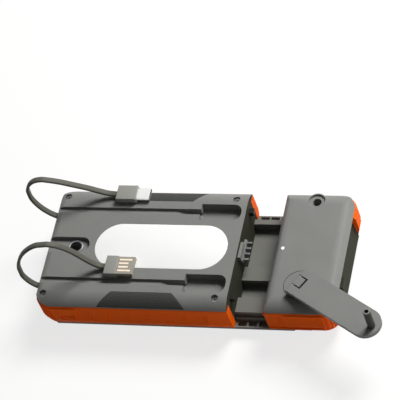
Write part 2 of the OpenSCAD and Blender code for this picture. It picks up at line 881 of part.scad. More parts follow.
module lamp_lens() color("#fbfbf8")
    translate([0, 0, case_h - lens_t]) linear_extrude(lens_t) lamp_outline(0);

module lamp_board() color("#e8e8e0")
    translate([0, 0, lamp_board_z1 - lamp_board_t]) linear_extrude(lamp_board_t) lamp_outline(0);

module lamp_leds() color("#f2e2a0") {
    rows = floor((lamp_w - 2 * ledge_w - led_margin) / led_pitch / 2);
    columns = floor((lamp_x1 - lamp_x0 - lamp_w) / led_pitch / 2);
    centre = (lamp_x0 + lamp_x1) / 2;
    for (i = [-columns : columns], j = [-rows : rows])
        translate([centre + i * led_pitch, j * led_pitch, lamp_board_z1 + led_lift])
            cube(led_size, center = true);
}

// Battery, its carrier and the charging board, stacked on the shell's floor
module battery_cells() color("#9aa0a4") {
    mid = (cell_x0 + cell_x1) / 2;
    for (x = [[cell_x0, mid - cell_gap], [mid + cell_gap, cell_x1]])
        slab(x[0], x[1], cell_half, cell_r, cell_r, floor_z + seat, floor_z + seat + cell_h);
}

module cell_carrier() color(black)
    difference() {
        block([cell_x0, cell_x1], [-cell_half, cell_half], [carrier_z, carrier_z + carrier_t]);
        for (i = [1 : carrier_holes])
            translate([cell_x0 + i * (cell_x1 - cell_x0) / (carrier_holes + 1), 0, carrier_z])
                cube([carrier_hole_l, 2 * (cell_half - carrier_rim), 3 * carrier_t], center = true);
    }

module main_board() color(green) {
    z = carrier_z + carrier_t + seat;
    difference() {
        block([cell_x0, cell_x1], [-board_half, board_half], [z, z + board_t]);
        for (x = [cell_x0 + board_hole_in, cell_x1 - board_hole_in], s = [-1, 1])
            rod(x, s * (board_half - board_hole_in), board_hole_r, 0, case_h);
    }
    for (p = board_parts)
        translate([(cell_x0 + cell_x1) / 2 + p[0], p[1] - p[3] / 2, z + board_t - seat])
            cube([p[2], p[3], board_part_h]);
}

module dock_connector() color(grey) {
    y = [dock_y - dock_w / 2, dock_y + dock_w / 2];
    comb = [comb_y - comb_w / 2, comb_y + comb_w / 2];
    block([part_x - dock_in, part_x + dock_out], y, [dock_z0, dock_z1]);
    difference() {
        union() {
            block([part_x - dock_in, part_x + comb_out], comb, [comb_z0, comb_z1]);
            block([part_x - dock_in, part_x - wall - seat], y, [comb_z0, dock_z1]);
        }
        contact_bars(seat);
    }
}

// Row of contact blades in the dock, grown for their slots
module contact_bars(grow) {
    for (i = [0 : contact_count - 1]) {
        y = comb_y + (i - (contact_count - 1) / 2) * contact_pitch;
        block([part_x - dock_in + contact_back - grow, part_x + contact_out],
            [y - contact_t / 2 - grow, y + contact_t / 2 + grow],
            [comb_z0 + contact_rim - grow, comb_z1 - contact_rim + grow]);
    }
}

module dock_contacts() color(brass) contact_bars(0);

module guide_pegs() color(black)
    for (s = [-1, 1])
        difference() {
            union() {
                block([part_x - wall, part_x + peg_out], [s * peg_y - peg_w / 2, s * peg_y + peg_w / 2],
                    [peg_z, peg_z + peg_h]);
                block([part_x - wall - peg_flange, part_x - wall - seat],
                    [s * peg_y - peg_w / 2 - peg_flange, s * peg_y + peg_w / 2 + peg_flange],
                    [peg_z - 2 * peg_flange, peg_flange_z]);
                block([part_x - wall - peg_flange, part_x], [s * peg_y - peg_w / 2, s * peg_y + peg_w / 2],
                    [peg_z, peg_flange_z]);
            }
            translate([part_x + peg_out, s * peg_y, peg_z]) rotate([0, 45, 0])
                cube([peg_bevel, peg_w + eps, peg_bevel], center = true);
        }

module lanyard_eyelet() color(steel)
    difference() {
        union() {
            rod(eyelet_x, 0, eyelet_r + eyelet_wall, tunnel_z1, lanyard_z + eyelet_tube_h);
            rod(eyelet_x, 0, eyelet_r + eyelet_wall + eyelet_rim, lanyard_z + seat, lanyard_z + eyelet_rim_h);
        }
        rod(eyelet_x, 0, eyelet_r, tunnel_z0, case_h);
    }

module cable_glands() color(black)
    for (s = [-1, 1])
        block([end_left, end_left + gland_l], [s * groove_y - gland_w / 2, s * groove_y + gland_w / 2],
            [gland_z - gland_h / 2, gland_z + gland_h / 2]);

// Cables and plugs

module usb_cable() color(dark) flat_cord(usb_route);

module usb_plug_body() color(grey)
    translate([usb_end[0], usb_end[1], plug_z0])
        block([0, usb_body_l], [-usb_body_w / 2, usb_body_w / 2], [0, plug_t]);

module usb_plug_tongue() color(black)
    translate([usb_end[0] + usb_body_l, usb_end[1], usb_tongue_z])
        block([0, usb_tongue_l], [-usb_tongue_w / 2, usb_tongue_w / 2], [0, usb_tongue_t]);

module usb_plug_contacts() color(brass)
    translate([usb_end[0] + usb_body_l, usb_end[1], usb_tongue_z + usb_tongue_t])
        for (i = [0 : usb_contacts - 1]) {
            inner = i > 0 && i < usb_contacts - 1 ? 1 : 0;
            y = (i - (usb_contacts - 1) / 2) * usb_contact_pitch;
            block([usb_contact_x0, usb_contact_x1[inner]], [y - usb_contact_w / 2, y + usb_contact_w / 2],
                [0, usb_contact_t]);
        }

module slim_cable() color(dark) flat_cord(slim_route);

module slim_plug_body() color(grey)
    translate([slim_end[0], slim_end[1], plug_z0])
        block([0, slim_body_l], [-slim_body_w / 2, slim_body_w / 2], [0, plug_t]);

// Section of the slim plug's shell, drawn in by inset, extruded from x0 to x1
module slim_section(x0, x1, inset) {
    h = slim_shell_t / 2 - inset;
    translate([slim_end[0] + x0, slim_end[1], plug_z0 + plug_t / 2]) rotate([90, 0, 90])
        linear_extrude(x1 - x0) outline(-slim_shell_w / 2 + inset, slim_shell_w / 2 - inset, h, h, h);
}

module slim_plug_shell() color(steel)
    difference() {
        slim_section(slim_body_l, slim_body_l + slim_shell_l, 0);
        slim_section(slim_body_l + slim_shell_back, slim_body_l + slim_shell_l + eps, slim_shell_wall);
    }

module slim_plug_tongue() color(black)
    translate([slim_end[0] + slim_body_l + slim_shell_back, slim_end[1], plug_z0 + plug_t / 2])
        block([0, slim_tongue[0]], [-slim_tongue[1] / 2, slim_tongue[1] / 2],
            [-slim_tongue[2] / 2, slim_tongue[2] / 2]);

// Pieces of the generator module, drawn from its inner end at zero

module module_form() {
    intersection() {
        slab(0, module_l - rim_in, rim_half, inner_corner_r, corner_r, lip_z, case_h);
        shoulder_prism(0, module_l, 0);
        end_prism(0, module_l - rim_in, inner_r, outer_r);
    }
}

// Walls below the shoulder: side walls behind the bumper and the drafted end
module module_core(inset) {
    z0 = inset > 0 ? 0 : skirt_z;
    slab(inset, module_l - bumper_t - inset, core_half - inset, 0, core_r, z0, lip_z + seat);
    half = module_end_half - seat - inset;
    translate([0, half, 0]) rotate([90, 0, 0]) linear_extrude(2 * half) polygon([
        [module_l - bumper_t - core_r, inset > 0 ? 0 : end_z], [end_u - inset, inset > 0 ? 0 : end_z],
        [end_u - draft - inset, lip_z + seat], [module_l - bumper_t - core_r, lip_z + seat]
    ]);
}

// Bosses that hang from the module's roof
module module_bosses() {
    rod(crank_u, crank_y, hub_r + gap + boss_wall, disc_z0 - gap - recess_floor, roof_z + seat);
    rod(crank_u, crank_y, boss_r, drive_z + drive_t + gap, roof_z + seat);
    rod(crank_u, rotor_y, can_r + seat + boss_wall, roof_z - can_collar, roof_z + seat);
    for (p = module_screw_spots) rod(p[0], p[1], module_post_r, base_top + seat, roof_z + seat);
}

module module_housing() color(grey) in_module() {
    difference() {
        union() {
            difference() {
                union() {
                    module_form();
                    module_core(0);
                    rod(crank_u, store_y, store_rim_r, lip_z, store_rim_z);
                }
                intersection() {
                    module_core(wall);
                    block([0, module_l], [-half_w, half_w], [0, roof_z]);
                }
                block([-eps, module_l - bumper_t - wall], [-cavity_half, cavity_half], [0, base_top + seat]);
            }
            intersection() {
                module_bosses();
                block([0, module_l - wall], [-core_half, core_half], [0, case_h]);
            }
            rod(crank_u, store_y, store_r + store_wall, base_top + seat, roof_z + seat);
        }
        rod(crank_u, crank_y, hub_r + gap, disc_z0 - gap, case_h + eps);
        rod(crank_u, crank_y, bush_r + seat, 0, case_h);
        rod(crank_u, crank_y, bush_r + bush_flange + seat, disc_z0 - gap - bush_flange_t, case_h);
        rod(crank_u, store_y, store_r, base_top + store_wall, case_h + eps);
        rod(crank_u, store_y, store_sink_r, store_sink_z, case_h + eps);
        rod(crank_u, rotor_y, can_r + seat, 0, roof_z);
        rod(light_u, light_y, light_r + seat, roof_z - eps, case_h + eps);
        for (p = module_screw_spots) rod(p[0], p[1], screw_r + seat, 0, roof_z - screw_stop);
        module_wall_cuts();
    }
}

// Openings for the dock, the guide pegs and the button
module module_wall_cuts() {
    y = [dock_y - dock_w / 2 - gap, dock_y + dock_w / 2 + gap];
    grow = gap + socket_wall + seat;
    block([-eps, wall + eps], y, [dock_z0 - gap, dock_z1 + gap]);
    block([-eps, wall + eps], [comb_y - comb_w / 2 - grow, comb_y + comb_w / 2 + grow],
        [base_top - eps, comb_z1 + grow]);
    for (s = [-1, 1])
        block([-eps, wall + eps], [s * peg_y - peg_w / 2 - gap, s * peg_y + peg_w / 2 + gap],
            [peg_z - gap, peg_z + peg_h + gap]);
    block([module_l - bumper_t, module_l + eps],
        [button_y - button_w / 2 - gap, button_y + button_w / 2 + gap],
        [button_z - button_h / 2 - gap, button_z + button_h / 2 + gap]);
}

// Runner plate: it carries the works and slides between and over the tray's rails
module module_base() color(dark) in_module() {
    u = [gap, module_l - bumper_t - wall - seat];
    half = module_end_half - wall - 2 * seat;
    difference() {
        union() {
            block(u, [-cavity_half + seat, cavity_half - seat], [base_z, base_top]);
            block([gap, base_u1], [-half, half], [base_z, base_top]);
            block([gap, u[1] - base_step], [near_rail[1] + gap, far_rail[0] - gap],
                [tray_z + gap, base_z + seat]);
            block([gap, base_u1], [near_rail[1] + gap, half], [tray_z + gap, base_z + seat]);
            rod(crank_u, idler_y, axle_boss_r, base_z, base_top + axle_boss_h);
        }
        block([-eps, module_l], [mid_rail[0] + rail_overhang - gap, mid_rail[1] - rail_overhang + gap],
            [0, rail_z + gap]);
        block([-eps, module_l], [mid_rail[0] - gap, mid_rail[1] + gap],
            [rail_z - rail_head - gap, rail_z + gap]);
        for (y = [[near_rail[1], mid_rail[0]], [mid_rail[1], far_rail[0]]])
            block([wall, u[1] - wall - base_step], [y[0] + gap + wall, y[1] - gap - wall], [0, base_z]);
        rod(crank_u, idler_y, axle_r + seat, base_z - eps, case_h);
        for (p = module_screw_spots) {
            rod(p[0], p[1], screw_r + screw_clear, 0, case_h);
            rod(p[0], p[1], screw_head_r + head_clear, 0, base_z);
        }
    }
}

module module_bumper() color(orange) in_module() {
    difference() {
        union() {
            bumper_band(0, module_l, 0, corner_r, [module_l - corner_r - module_bulge_l, module_l + eps]);
            bumper_bars(module_bar_u, module_bar_u);
        }
        block([module_l - bumper_t - core_r, module_l + eps],
            [-module_end_half, module_end_half], [0, case_h]);
        rod(crank_u, store_y, store_r + store_wall + seat, base_top, case_h);
        corner_grooves(module_l - corner_r, module_grooves);
    }
}

module module_screws() color(steel) in_module()
    for (p = module_screw_spots) {
        rod(p[0], p[1], screw_r, base_z - seat, roof_z - screw_stop - screw_tip);
        rod(p[0], p[1], screw_head_r, base_z - seat - screw_head_h, base_z - seat);
    }

module module_board() color(green) in_module() {
    difference() {
        block([board_u0, board_u1], [board_y0, board_y1], [base_top + seat, base_top + seat + board_t]);
        for (p = module_screw_spots) rod(p[0], p[1], module_post_r + seat, 0, case_h);
        rod(crank_u, store_y, store_r + store_wall + board_clear, 0, case_h);
    }
    for (i = [0 : chips - 1])
        translate([board_u0 + chip_in + i * chip_pitch, board_y0 + chip_l / 2, base_top + board_t])
            cube([chip_w, chip_l, chip_h]);
}

module dock_socket() color(black) in_module() {
    half = comb_w / 2 + gap;
    difference() {
        block([0, socket_l], [comb_y - half - socket_wall, comb_y + half + socket_wall],
            [base_top + seat, comb_z1 + gap + socket_wall]);
        block([-eps, socket_l - socket_wall], [comb_y - half, comb_y + half], [comb_z0 - gap, comb_z1 + gap]);
    }
}

module indicator_lens() color("#ffffff") in_module()
    intersection() {
        rod(light_u, light_y, light_r, roof_z, case_h + eps);
        module_form();
    }

// Generator

module generator_can() color(steel) in_module()
    difference() {
        rod(crank_u, rotor_y, can_r, can_z0 + can_t, can_z1);
        rod(crank_u, rotor_y, can_r - can_t, 0, can_z1 - can_t);
        rod(crank_u, rotor_y, rotor_shaft_r + run, 0, case_h);
    }

module generator_end() color(black) in_module()
    difference() {
        union() {
            rod(crank_u, rotor_y, can_r, can_z0, can_z0 + can_t - seat);
            rod(crank_u, rotor_y, can_r - can_t - seat, can_z0, can_z0 + can_t + can_spigot);
        }
        rod(crank_u, rotor_y, rotor_shaft_r + run, 0, case_h);
    }

module stator_coil() color("#b06a38") in_module()
    difference() {
        rod(crank_u, rotor_y, can_r - can_t - seat, coil_z0, coil_z1);
        rod(crank_u, rotor_y, coil_r0, 0, case_h);
    }

module rotor_shaft() color(steel) in_module()
    rod(crank_u, rotor_y, rotor_shaft_r, idler_z, can_z1 - gap);

module rotor_magnet() color("#5a5a5e") in_module()
    difference() {
        rod(crank_u, rotor_y, coil_r0 - gap, coil_z0, coil_z1 - gap);
        rod(crank_u, rotor_y, rotor_shaft_r + seat, 0, case_h);
    }

module rotor_pinion() color(brass) in_module()
    translate([crank_u, rotor_y, idler_z]) difference() {
        spur(pinion_teeth, -90 + 180 / pinion_teeth, wheel_t);
        translate([0, 0, -eps]) cylinder(r = rotor_shaft_r + seat, h = 2 * wheel_t);
    }

module idler_axle() color(steel) in_module()
    rod(crank_u, idler_y, axle_r, base_z, axle_z1);

module idler_gear() color("#e4e0d2") in_module()
    translate([crank_u, idler_y, idler_z]) difference() {
        union() {
            spur(idler_teeth, 90, wheel_t);
            translate([0, 0, wheel_t - seat])
                spur(pinion_teeth, -90 + 180 / pinion_teeth, idler_top - idler_z - wheel_t);
        }
        translate([0, 0, -eps]) cylinder(r = axle_r + run, h = case_h);
    }

module crank_bush() color(brass) in_module()
    difference() {
        union() {
            rod(crank_u, crank_y, bush_r, drive_z + drive_t + gap, disc_z0 - gap);
            rod(crank_u, crank_y, bush_r + bush_flange, disc_z0 - gap - bush_flange_t + seat, disc_z0 - gap);
        }
        rod(crank_u, crank_y, shaft_r + run, 0, case_h);
    }

// Button at the outer end

module power_button() color(black) in_module() {
    block([button_back_u + button_tail + button_flange - seat, end_u - draft / 2 + button_out],
        [button_y - button_w / 2, button_y + button_w / 2],
        [button_z - button_h / 2, button_z + button_h / 2]);
    block([button_back_u + button_tail, button_back_u + button_tail + button_flange],
        [button_y - button_w / 2 - button_flange_w, button_y + button_w / 2 + button_flange_w],
        [button_z - button_h / 2 - button_flange_w, button_z + button_h / 2 + button_flange_w]);
    block([button_back_u, button_back_u + button_tail + seat],
        [button_y - button_tail_half, button_y + button_tail_half],
        [button_z - button_tail_half, button_z + button_tail_half]);
}

module button_switch() color(black) in_module() {
    block([switch_u1 - switch_l, switch_u1], [button_y - switch_half, button_y + switch_half],
        [base_top + seat, button_z + switch_over]);
    block([switch_u1 - switch_l, switch_u1 + switch_foot[0]],
        [button_y - switch_foot[1], button_y + switch_foot[1]],
        [base_top + seat, base_top + seat + switch_foot[2]]);
}

// Crank, drawn about its axis with the arm along x

// Rod or hole along the arm's hinge
module hinge_rod(r, l) {
    translate([-hinge_back, l / 2, hinge_z]) rotate([90, 0, 0]) cylinder(r = r, h = l);
}

module crank_hub() color(grey) on_crank() {
    difference() {
        union() {
            rod(0, 0, hub_r, disc_z0, case_h);
            rod(0, 0, shaft_r, shaft_end_z, case_h);
            block([-hinge_back - arm_t / 2, lug_l], [-lug_w / 2, lug_w / 2], [case_h - seat, hinge_z]);
            block([-hinge_back, lug_l], [-lug_w / 2, lug_w / 2], [case_h, arm_z0 + arm_t]);
            hinge_rod(arm_t / 2, lug_w);
        }
        hinge_rod(hinge_r + seat, 2 * lug_w);
        difference() {
            rod(0, 0, shaft_r + eps, clip_z, clip_z + clip_t);
            rod(0, 0, shaft_r - clip_groove, 0, case_h);
        }
        block([shaft_r - shaft_flat, 2 * shaft_r], [-shaft_r, shaft_r],
            [shaft_end_z - eps, drive_z + drive_t]);
    }
}

module drive_gear() color("#e4e0d2") {
    in_module() translate([crank_u, crank_y, drive_z]) difference() {
        spur(drive_teeth, 90, drive_t);
        rotate(crank_angle) difference() {
            translate([0, 0, -eps]) cylinder(r = shaft_r + seat, h = drive_t + 2 * eps);
            block([shaft_r - shaft_flat + seat, 2 * shaft_r], [-shaft_r, shaft_r],
                [-2 * eps, drive_t + 2 * eps]);
        }
    }
}

module shaft_clip() color(steel) on_crank()
    difference() {
        rod(0, 0, shaft_r + clip_w, clip_z + seat, clip_z + clip_t - seat);
        rod(0, 0, shaft_r - clip_groove + seat, 0, case_h);
        block([0, 2 * bush_r], [-shaft_r * clip_mouth, shaft_r * clip_mouth], [0, case_h]);
    }

module hinge_pin() color(steel) on_crank()
    hinge_rod(hinge_r, arm_w - hinge_pin_in);

module crank_arm() color(grey) on_crank() {
    difference() {
        union() {
            slab(-hinge_back, arm_tip, arm_w / 2, 0, arm_w / 2, arm_z0, arm_z0 + arm_t);
            hinge_rod(arm_t / 2, arm_w);
        }
        block([-hinge_back - arm_t, notch_l], [-notch_w / 2, notch_w / 2], [0, 2 * case_h]);
        hinge_rod(hinge_r + run, 2 * arm_w);
        rod(crank_reach, 0, knob_pin_r + seat, 0, 2 * case_h);
    }
}

module knob_pin() color(steel) on_crank() {
    rod(crank_reach, 0, knob_pin_r, arm_z0, knob_seat_z + run + seat);
    rod(crank_reach, 0, knob_head_r, knob_seat_z + run, knob_seat_z + run + knob_head_h);
}

module knob_sleeve() color(black) on_crank()
    difference() {
        rod(crank_reach, 0, knob_r, knob_z0, knob_z0 + knob_l);
        rod(crank_reach, 0, knob_pin_r + run, 0, 2 * case_h);
        rod(crank_reach, 0, knob_head_r + run, knob_seat_z, 2 * case_h);
    }

front_shell();
solar_panel();
rear_cover();
main_bumper();
grip_pads();
cover_screws();
lamp_lens();
lamp_board();
lamp_leds();
main_board();
cell_carrier();
battery_cells();
dock_connector();
dock_contacts();
guide_pegs();
lanyard_eyelet();
cable_glands();
usb_cable();
usb_plug_body();
usb_plug_tongue();
usb_plug_contacts();
slim_cable();
slim_plug_body();
slim_plug_shell();
slim_plug_tongue();
module_housing();
module_base();
module_bumper();
module_screws();
module_board();
dock_socket();
indicator_lens();
generator_can();
generator_end();
stator_coil();
idler_axle();
crank_bush();
button_switch();
power_button();
crank_hub();
drive_gear();
shaft_clip();
hinge_pin();
crank_arm();
knob_pin();
knob_sleeve();
idler_gear();
rotor_shaft();
rotor_pinion();
rotor_magnet();
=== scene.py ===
"""Looks of a solar power bank with a hand-crank generator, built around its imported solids.

Every piece is in metres, in the frame of the solids: +X runs along the casing to the generator
module, +Y across its width and +Z out of the lamp face. Sizes are written in millimetres and
multiplied by MM where they are used, unless they are said to be in metres.
"""

import math

import bmesh
import bpy
import numpy as np
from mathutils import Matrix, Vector


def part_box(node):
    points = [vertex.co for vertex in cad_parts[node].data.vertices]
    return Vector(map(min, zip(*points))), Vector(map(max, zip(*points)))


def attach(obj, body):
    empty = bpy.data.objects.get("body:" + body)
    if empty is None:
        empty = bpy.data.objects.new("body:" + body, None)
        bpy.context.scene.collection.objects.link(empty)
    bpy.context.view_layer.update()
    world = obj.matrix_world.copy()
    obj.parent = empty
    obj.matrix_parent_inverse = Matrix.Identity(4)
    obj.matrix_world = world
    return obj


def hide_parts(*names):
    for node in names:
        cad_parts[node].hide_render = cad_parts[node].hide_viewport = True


bl_info = {
    "name": "Solar power bank",
    "version": (1, 0, 0),
    "blender": (4, 5, 0),
    "location": "View3D > Sidebar > Power bank",
    "description": "Dresses the solids of a solar power bank with a hand-crank generator",
    "category": "Object",
}

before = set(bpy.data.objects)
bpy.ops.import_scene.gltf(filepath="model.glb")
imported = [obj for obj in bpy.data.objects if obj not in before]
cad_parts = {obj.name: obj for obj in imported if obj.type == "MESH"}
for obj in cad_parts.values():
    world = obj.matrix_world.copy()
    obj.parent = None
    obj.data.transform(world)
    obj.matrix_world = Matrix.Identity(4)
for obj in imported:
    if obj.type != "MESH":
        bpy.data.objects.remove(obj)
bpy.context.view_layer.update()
MM = 0.001


# Settings that a user would change


def linear(code):
    """Linear RGBA of an sRGB hex colour: c/12.92 up to 0.04045, else ((c + 0.055)/1.055)^2.4."""
    channels = [int(code[i:i + 2], 16) / 255 for i in (1, 3, 5)]
    return (*[c / 12.92 if c <= 0.04045 else ((c + 0.055) / 1.055) ** 2.4 for c in channels], 1.0)


def colour(code, name, description):
    """A colour property whose default is a hex colour."""
    return bpy.props.FloatVectorProperty(
        name=name, description=description, subtype="COLOR", size=4, min=0, max=1,
        default=linear(code))


def length(size, name, description):
    """A length property whose default is in millimetres."""
    return bpy.props.FloatProperty(
        name=name, description=description, unit="LENGTH", default=size * MM)


class PowerBankColours(bpy.types.PropertyGroup):
    """Colours of the finishes."""

    housing: colour("#838380", "Housing", "Grey ABS of the cover, the module and the crank")
    # The shell is the housing's grey ABS; this colour is a step darker as painted shade, for the
    # tray that lies in shade between the casing and the module.
    shell: colour("#75756f", "Shell", "Grey ABS of the solar-side shell")
    # The end walls are the housing's grey ABS; this darker grey is painted shade on their faces
    # that look along +X, and the power button takes it too.
    wall: colour("#3a3b31", "End walls", "Dark ABS of the casing's and the module's end walls")
    # The knob is the housing's grey; this darker grey on its side is painted shade, and a ring at
    # its top keeps the housing grey.
    knob: colour("#464642", "Knob", "Dark grey nylon of the crank's knob")
    plug: colour("#989892", "Plugs", "Pale grey ABS of the plugs' grips")
    tongue: colour("#a39e92", "Plug tongue", "Warm grey nylon of the wide plug's tongue")
    bumper: colour("#ff6400", "Bumper", "Orange rubber of the bumpers")
    pad: colour("#464744", "Grip pads", "Black rubber of the grip pads")
    black: colour("#232321", "Black parts", "Black nylon of the small parts")
    jacket: colour("#5e5e56", "Cable jacket", "Grey rubber of the flat cables")
    lamp: colour("#f3f3f1", "Lamp", "Milky lamp window")
    cell: colour("#4b4150", "Solar cells", "Purple-brown silicon under resin")
    finger: colour("#b9a6ac", "Cell fingers", "Pale printed lines of the solar cells")
    contact: colour("#efdfca", "Contacts", "Gilt contact strips")


class PowerBankSizes(bpy.types.PropertyGroup):
    """Sizes of the pieces that are modelled here."""

    edge: length(0.3, "Moulded edge", "Radius of the moulded edges")
    corner: length(11, "Corner", "Radius of the casing's corners seen from above")
    bumper_t: length(6, "Bumper thickness", "Thickness of the bumpers at the corners")
    bulge: length(0.7, "Corner bulge", "How far the bumpers stand out at the corners")
    groove_w: length(1.3, "Groove width", "Width of a grip groove")
    groove_d: length(0.8, "Groove depth", "Depth of a grip groove")
    bar_w: length(1, "Bar width", "Width of the raised bars on the bumpers")
    bar_h: length(0.5, "Bar height", "Height of the raised bars on the bumpers")
    bar_pitch: length(12, "Bar pitch", "Spacing of the raised bars on the bumpers")
    knurl: length(1.9, "Knurl pitch", "Spacing of the grip pads' diamonds")
    cord_w: length(3.6, "Cable width", "Width of a flat cable")
    cord_t: length(1.8, "Cable thickness", "Thickness of a flat cable")
    cell_pitch: length(15, "Cell pitch", "Spacing of the solar cells along the panel")
    finger_pitch: length(2, "Finger pitch", "Spacing of the printed lines on a cell")


class PowerBankStage(bpy.types.PropertyGroup):
    """Camera, light and floor."""

    camera_at: bpy.props.FloatVectorProperty(
        name="Camera", description="Place of the camera", subtype="TRANSLATION", unit="LENGTH",
        default=(0.48318, -0.78533, 1.21063))
    camera_turn: bpy.props.FloatVectorProperty(
        name="Camera turn", description="Turn of the camera about X, Y and Z", subtype="EULER",
        default=tuple(math.radians(a) for a in (36.3513, 14.3718, 11.4845)))
    camera_lens: bpy.props.FloatProperty(
        name="Lens", description="Focal length in millimetres on a 36 mm sensor", default=230.84)
    key: bpy.props.FloatProperty(
        name="Key light", description="Power of the main softbox", unit="POWER", default=20.2)
    rim: bpy.props.FloatProperty(
        name="Rim light", description="Power of the side softbox", unit="POWER", default=1.7)
    ambient: bpy.props.FloatProperty(
        name="Ambient", description="Strength of the room's light", default=0.04)
    floor: colour("#f4f4f2", "Floor", "Colour of the floor")


def sizes():
    """The scene's size settings."""
    return bpy.context.scene.power_bank_sizes


def colours():
    """The scene's colour settings."""
    return bpy.context.scene.power_bank_colours


# Meshes

# Angles in degrees: up to which a solid's copy is smooth, past which its edges are rounded, and up
# to which its faces count as flat; segments of a rounded edge
SMOOTH_ANGLE = 28
BEVEL_ANGLE = 40
FLAT_ANGLE = 0.2
BEVEL_SEGMENTS = 2
# Points nearer than this are merged
DOUBLES = 0.0005
# Points on a quarter turn: small round edges, round rims, and corners seen from above
EDGE_STEPS = 5
RIM_STEPS = 6
CORNER_STEPS = 10


def quarter_turn(steps):
    """Angles of a quarter turn, from 0 to pi / 2 in even steps."""
    return np.linspace(0, math.pi / 2, steps)


def grid_faces(rows, cols, close_rows=False, close_cols=False):
    """Quads of a grid of vertices; a closed direction joins its last line to its first."""
    i = np.arange(rows if close_rows else rows - 1)
    j = np.arange(cols if close_cols else cols - 1)
    i, j = (a.ravel() for a in np.meshgrid(i, j, indexing="ij"))
    i1, j1 = (i + 1) % rows, (j + 1) % cols
    return np.stack([i * cols + j, i * cols + j1, i1 * cols + j1, i1 * cols + j], axis=1)


def tube_faces(rows, cols):
    """Quads between the closed sections of a tube, and a cap on each end."""
    caps = [np.arange(cols), (rows - 1) * cols + np.arange(cols)]
    return [*grid_faces(rows, cols, close_cols=True), *caps]


def new_mesh(name, points, faces):
    """Closed mesh of an array of points and a list of faces, with its normals turned outwards."""
    mesh = bpy.data.meshes.new(name)
    corners = np.asarray(points).reshape(-1, 3).tolist()
    mesh.from_pydata(corners, [], [list(map(int, f)) for f in faces])
    tidy_mesh(mesh)
    return mesh


def tidy_mesh(mesh, dissolve=False):
    """Merges doubles, joins flat faces where asked, and turns the normals outwards."""
    work = bmesh.new()
    work.from_mesh(mesh)
    bmesh.ops.remove_doubles(work, verts=work.verts, dist=DOUBLES * MM)
    if dissolve:
        bmesh.ops.dissolve_limit(
            work, angle_limit=math.radians(FLAT_ANGLE), verts=work.verts, edges=work.edges)
    bmesh.ops.recalc_face_normals(work, faces=work.faces)
    work.to_mesh(mesh)
    work.free()


def piece(name, mesh, materials, body, stands_for, angle=35):
    """Puts a mesh into the scene: smooth up to an angle, on a body and in place of a solid."""
    mesh.shade_smooth()
    mesh.set_sharp_from_angle(angle=math.radians(angle))
    for material in materials:
        mesh.materials.append(material)
    made = bpy.data.objects.new(name, mesh)
    bpy.context.scene.collection.objects.link(made)
    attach(made, body)
    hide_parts(stands_for)
    return made


def dressed(name, materials, body, edge=0.0):
    """A merged copy of a solid that shows its true curves, with its edges rounded where asked."""
    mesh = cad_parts[name].data.copy()
    mesh.materials.clear()
    mesh.name = name + "_dressed"
    if "custom_normal" in mesh.attributes:
        mesh.attributes.remove(mesh.attributes["custom_normal"])
    tidy_mesh(mesh, dissolve=edge > 0)
    made = piece(name + "_finish", mesh, materials, body, name, SMOOTH_ANGLE)
    if edge:
        bevel = made.modifiers.new("moulded edges", "BEVEL")
        bevel.width = edge
        bevel.segments = BEVEL_SEGMENTS
        bevel.limit_method = "ANGLE"
        bevel.angle_limit = math.radians(BEVEL_ANGLE)
        bevel.harden_normals = True
    return made


def swept(path, normals, depth, height):
    """Closed section carried along a path: path(s) - depth(s, k) x normal(s), at height(s, k)."""
    rows, cols = depth.shape
    points = np.empty((rows, cols, 3))
    points[:, :, :2] = path[:, None, :] - depth[:, :, None] * normals[:, None, :]
    points[:, :, 2] = height
    return points, tube_faces(rows, cols)


def plate(outline, normals, low, high, edge):
    """Flat plate: its outline, drawn in by edge x (1 - sin a) at edge x (1 - cos a) from a rim."""
    a = quarter_turn(EDGE_STEPS)
    inset, rise = edge * (1 - np.sin(a)), edge * (1 - np.cos(a))
    inset = np.concatenate([inset, inset[::-1]])
    z = np.concatenate([low + rise, (high - rise)[::-1]])
    rows, cols = len(outline), len(z)
    points = np.empty((rows, cols, 3))
    points[:, :, :2] = outline[:, None, :] - inset[None, :, None] * normals[:, None, :]
    points[:, :, 2] = z
    rims = [np.arange(rows) * cols, np.arange(rows) * cols + cols - 1]
    return points, [*grid_faces(rows, cols, close_rows=True), *rims]


def round_rectangle(low, high, radius, steps=CORNER_STEPS):
    """Outline and normals of a rectangle with round corners: centre + radius x (cos a, sin a)."""
    a = quarter_turn(steps)
    quarter = np.stack([np.cos(a), np.sin(a)], axis=1)
    turns = [np.array([[c, s], [-s, c]]) for c, s in ((1, 0), (0, 1), (-1, 0), (0, -1))]
    normals = np.concatenate([quarter @ t for t in turns])
    corners = np.array([(high[0], high[1]), (low[0], high[1]), (low[0], low[1]), (high[0], low[1])])
    inward = np.array([(-1, -1), (1, -1), (1, 1), (-1, 1)])
    outline = np.repeat(corners + radius * inward, steps, axis=0) + radius * normals
    return outline, normals


def turned(profile, centre, steps=48):
    """Ring about an upright axis: (r cos a, r sin a, z) for each (r, z) of a closed profile."""
    profile = np.asarray(profile)
    a = np.linspace(0, 2 * math.pi, steps, endpoint=False)
    points = np.empty((steps, len(profile), 3))
    points[:, :, 0] = centre[0] + np.cos(a)[:, None] * profile[:, 0]
    points[:, :, 1] = centre[1] + np.sin(a)[:, None] * profile[:, 0]
    points[:, :, 2] = profile[:, 1]
    return points, grid_faces(steps, len(profile), close_rows=True, close_cols=True)


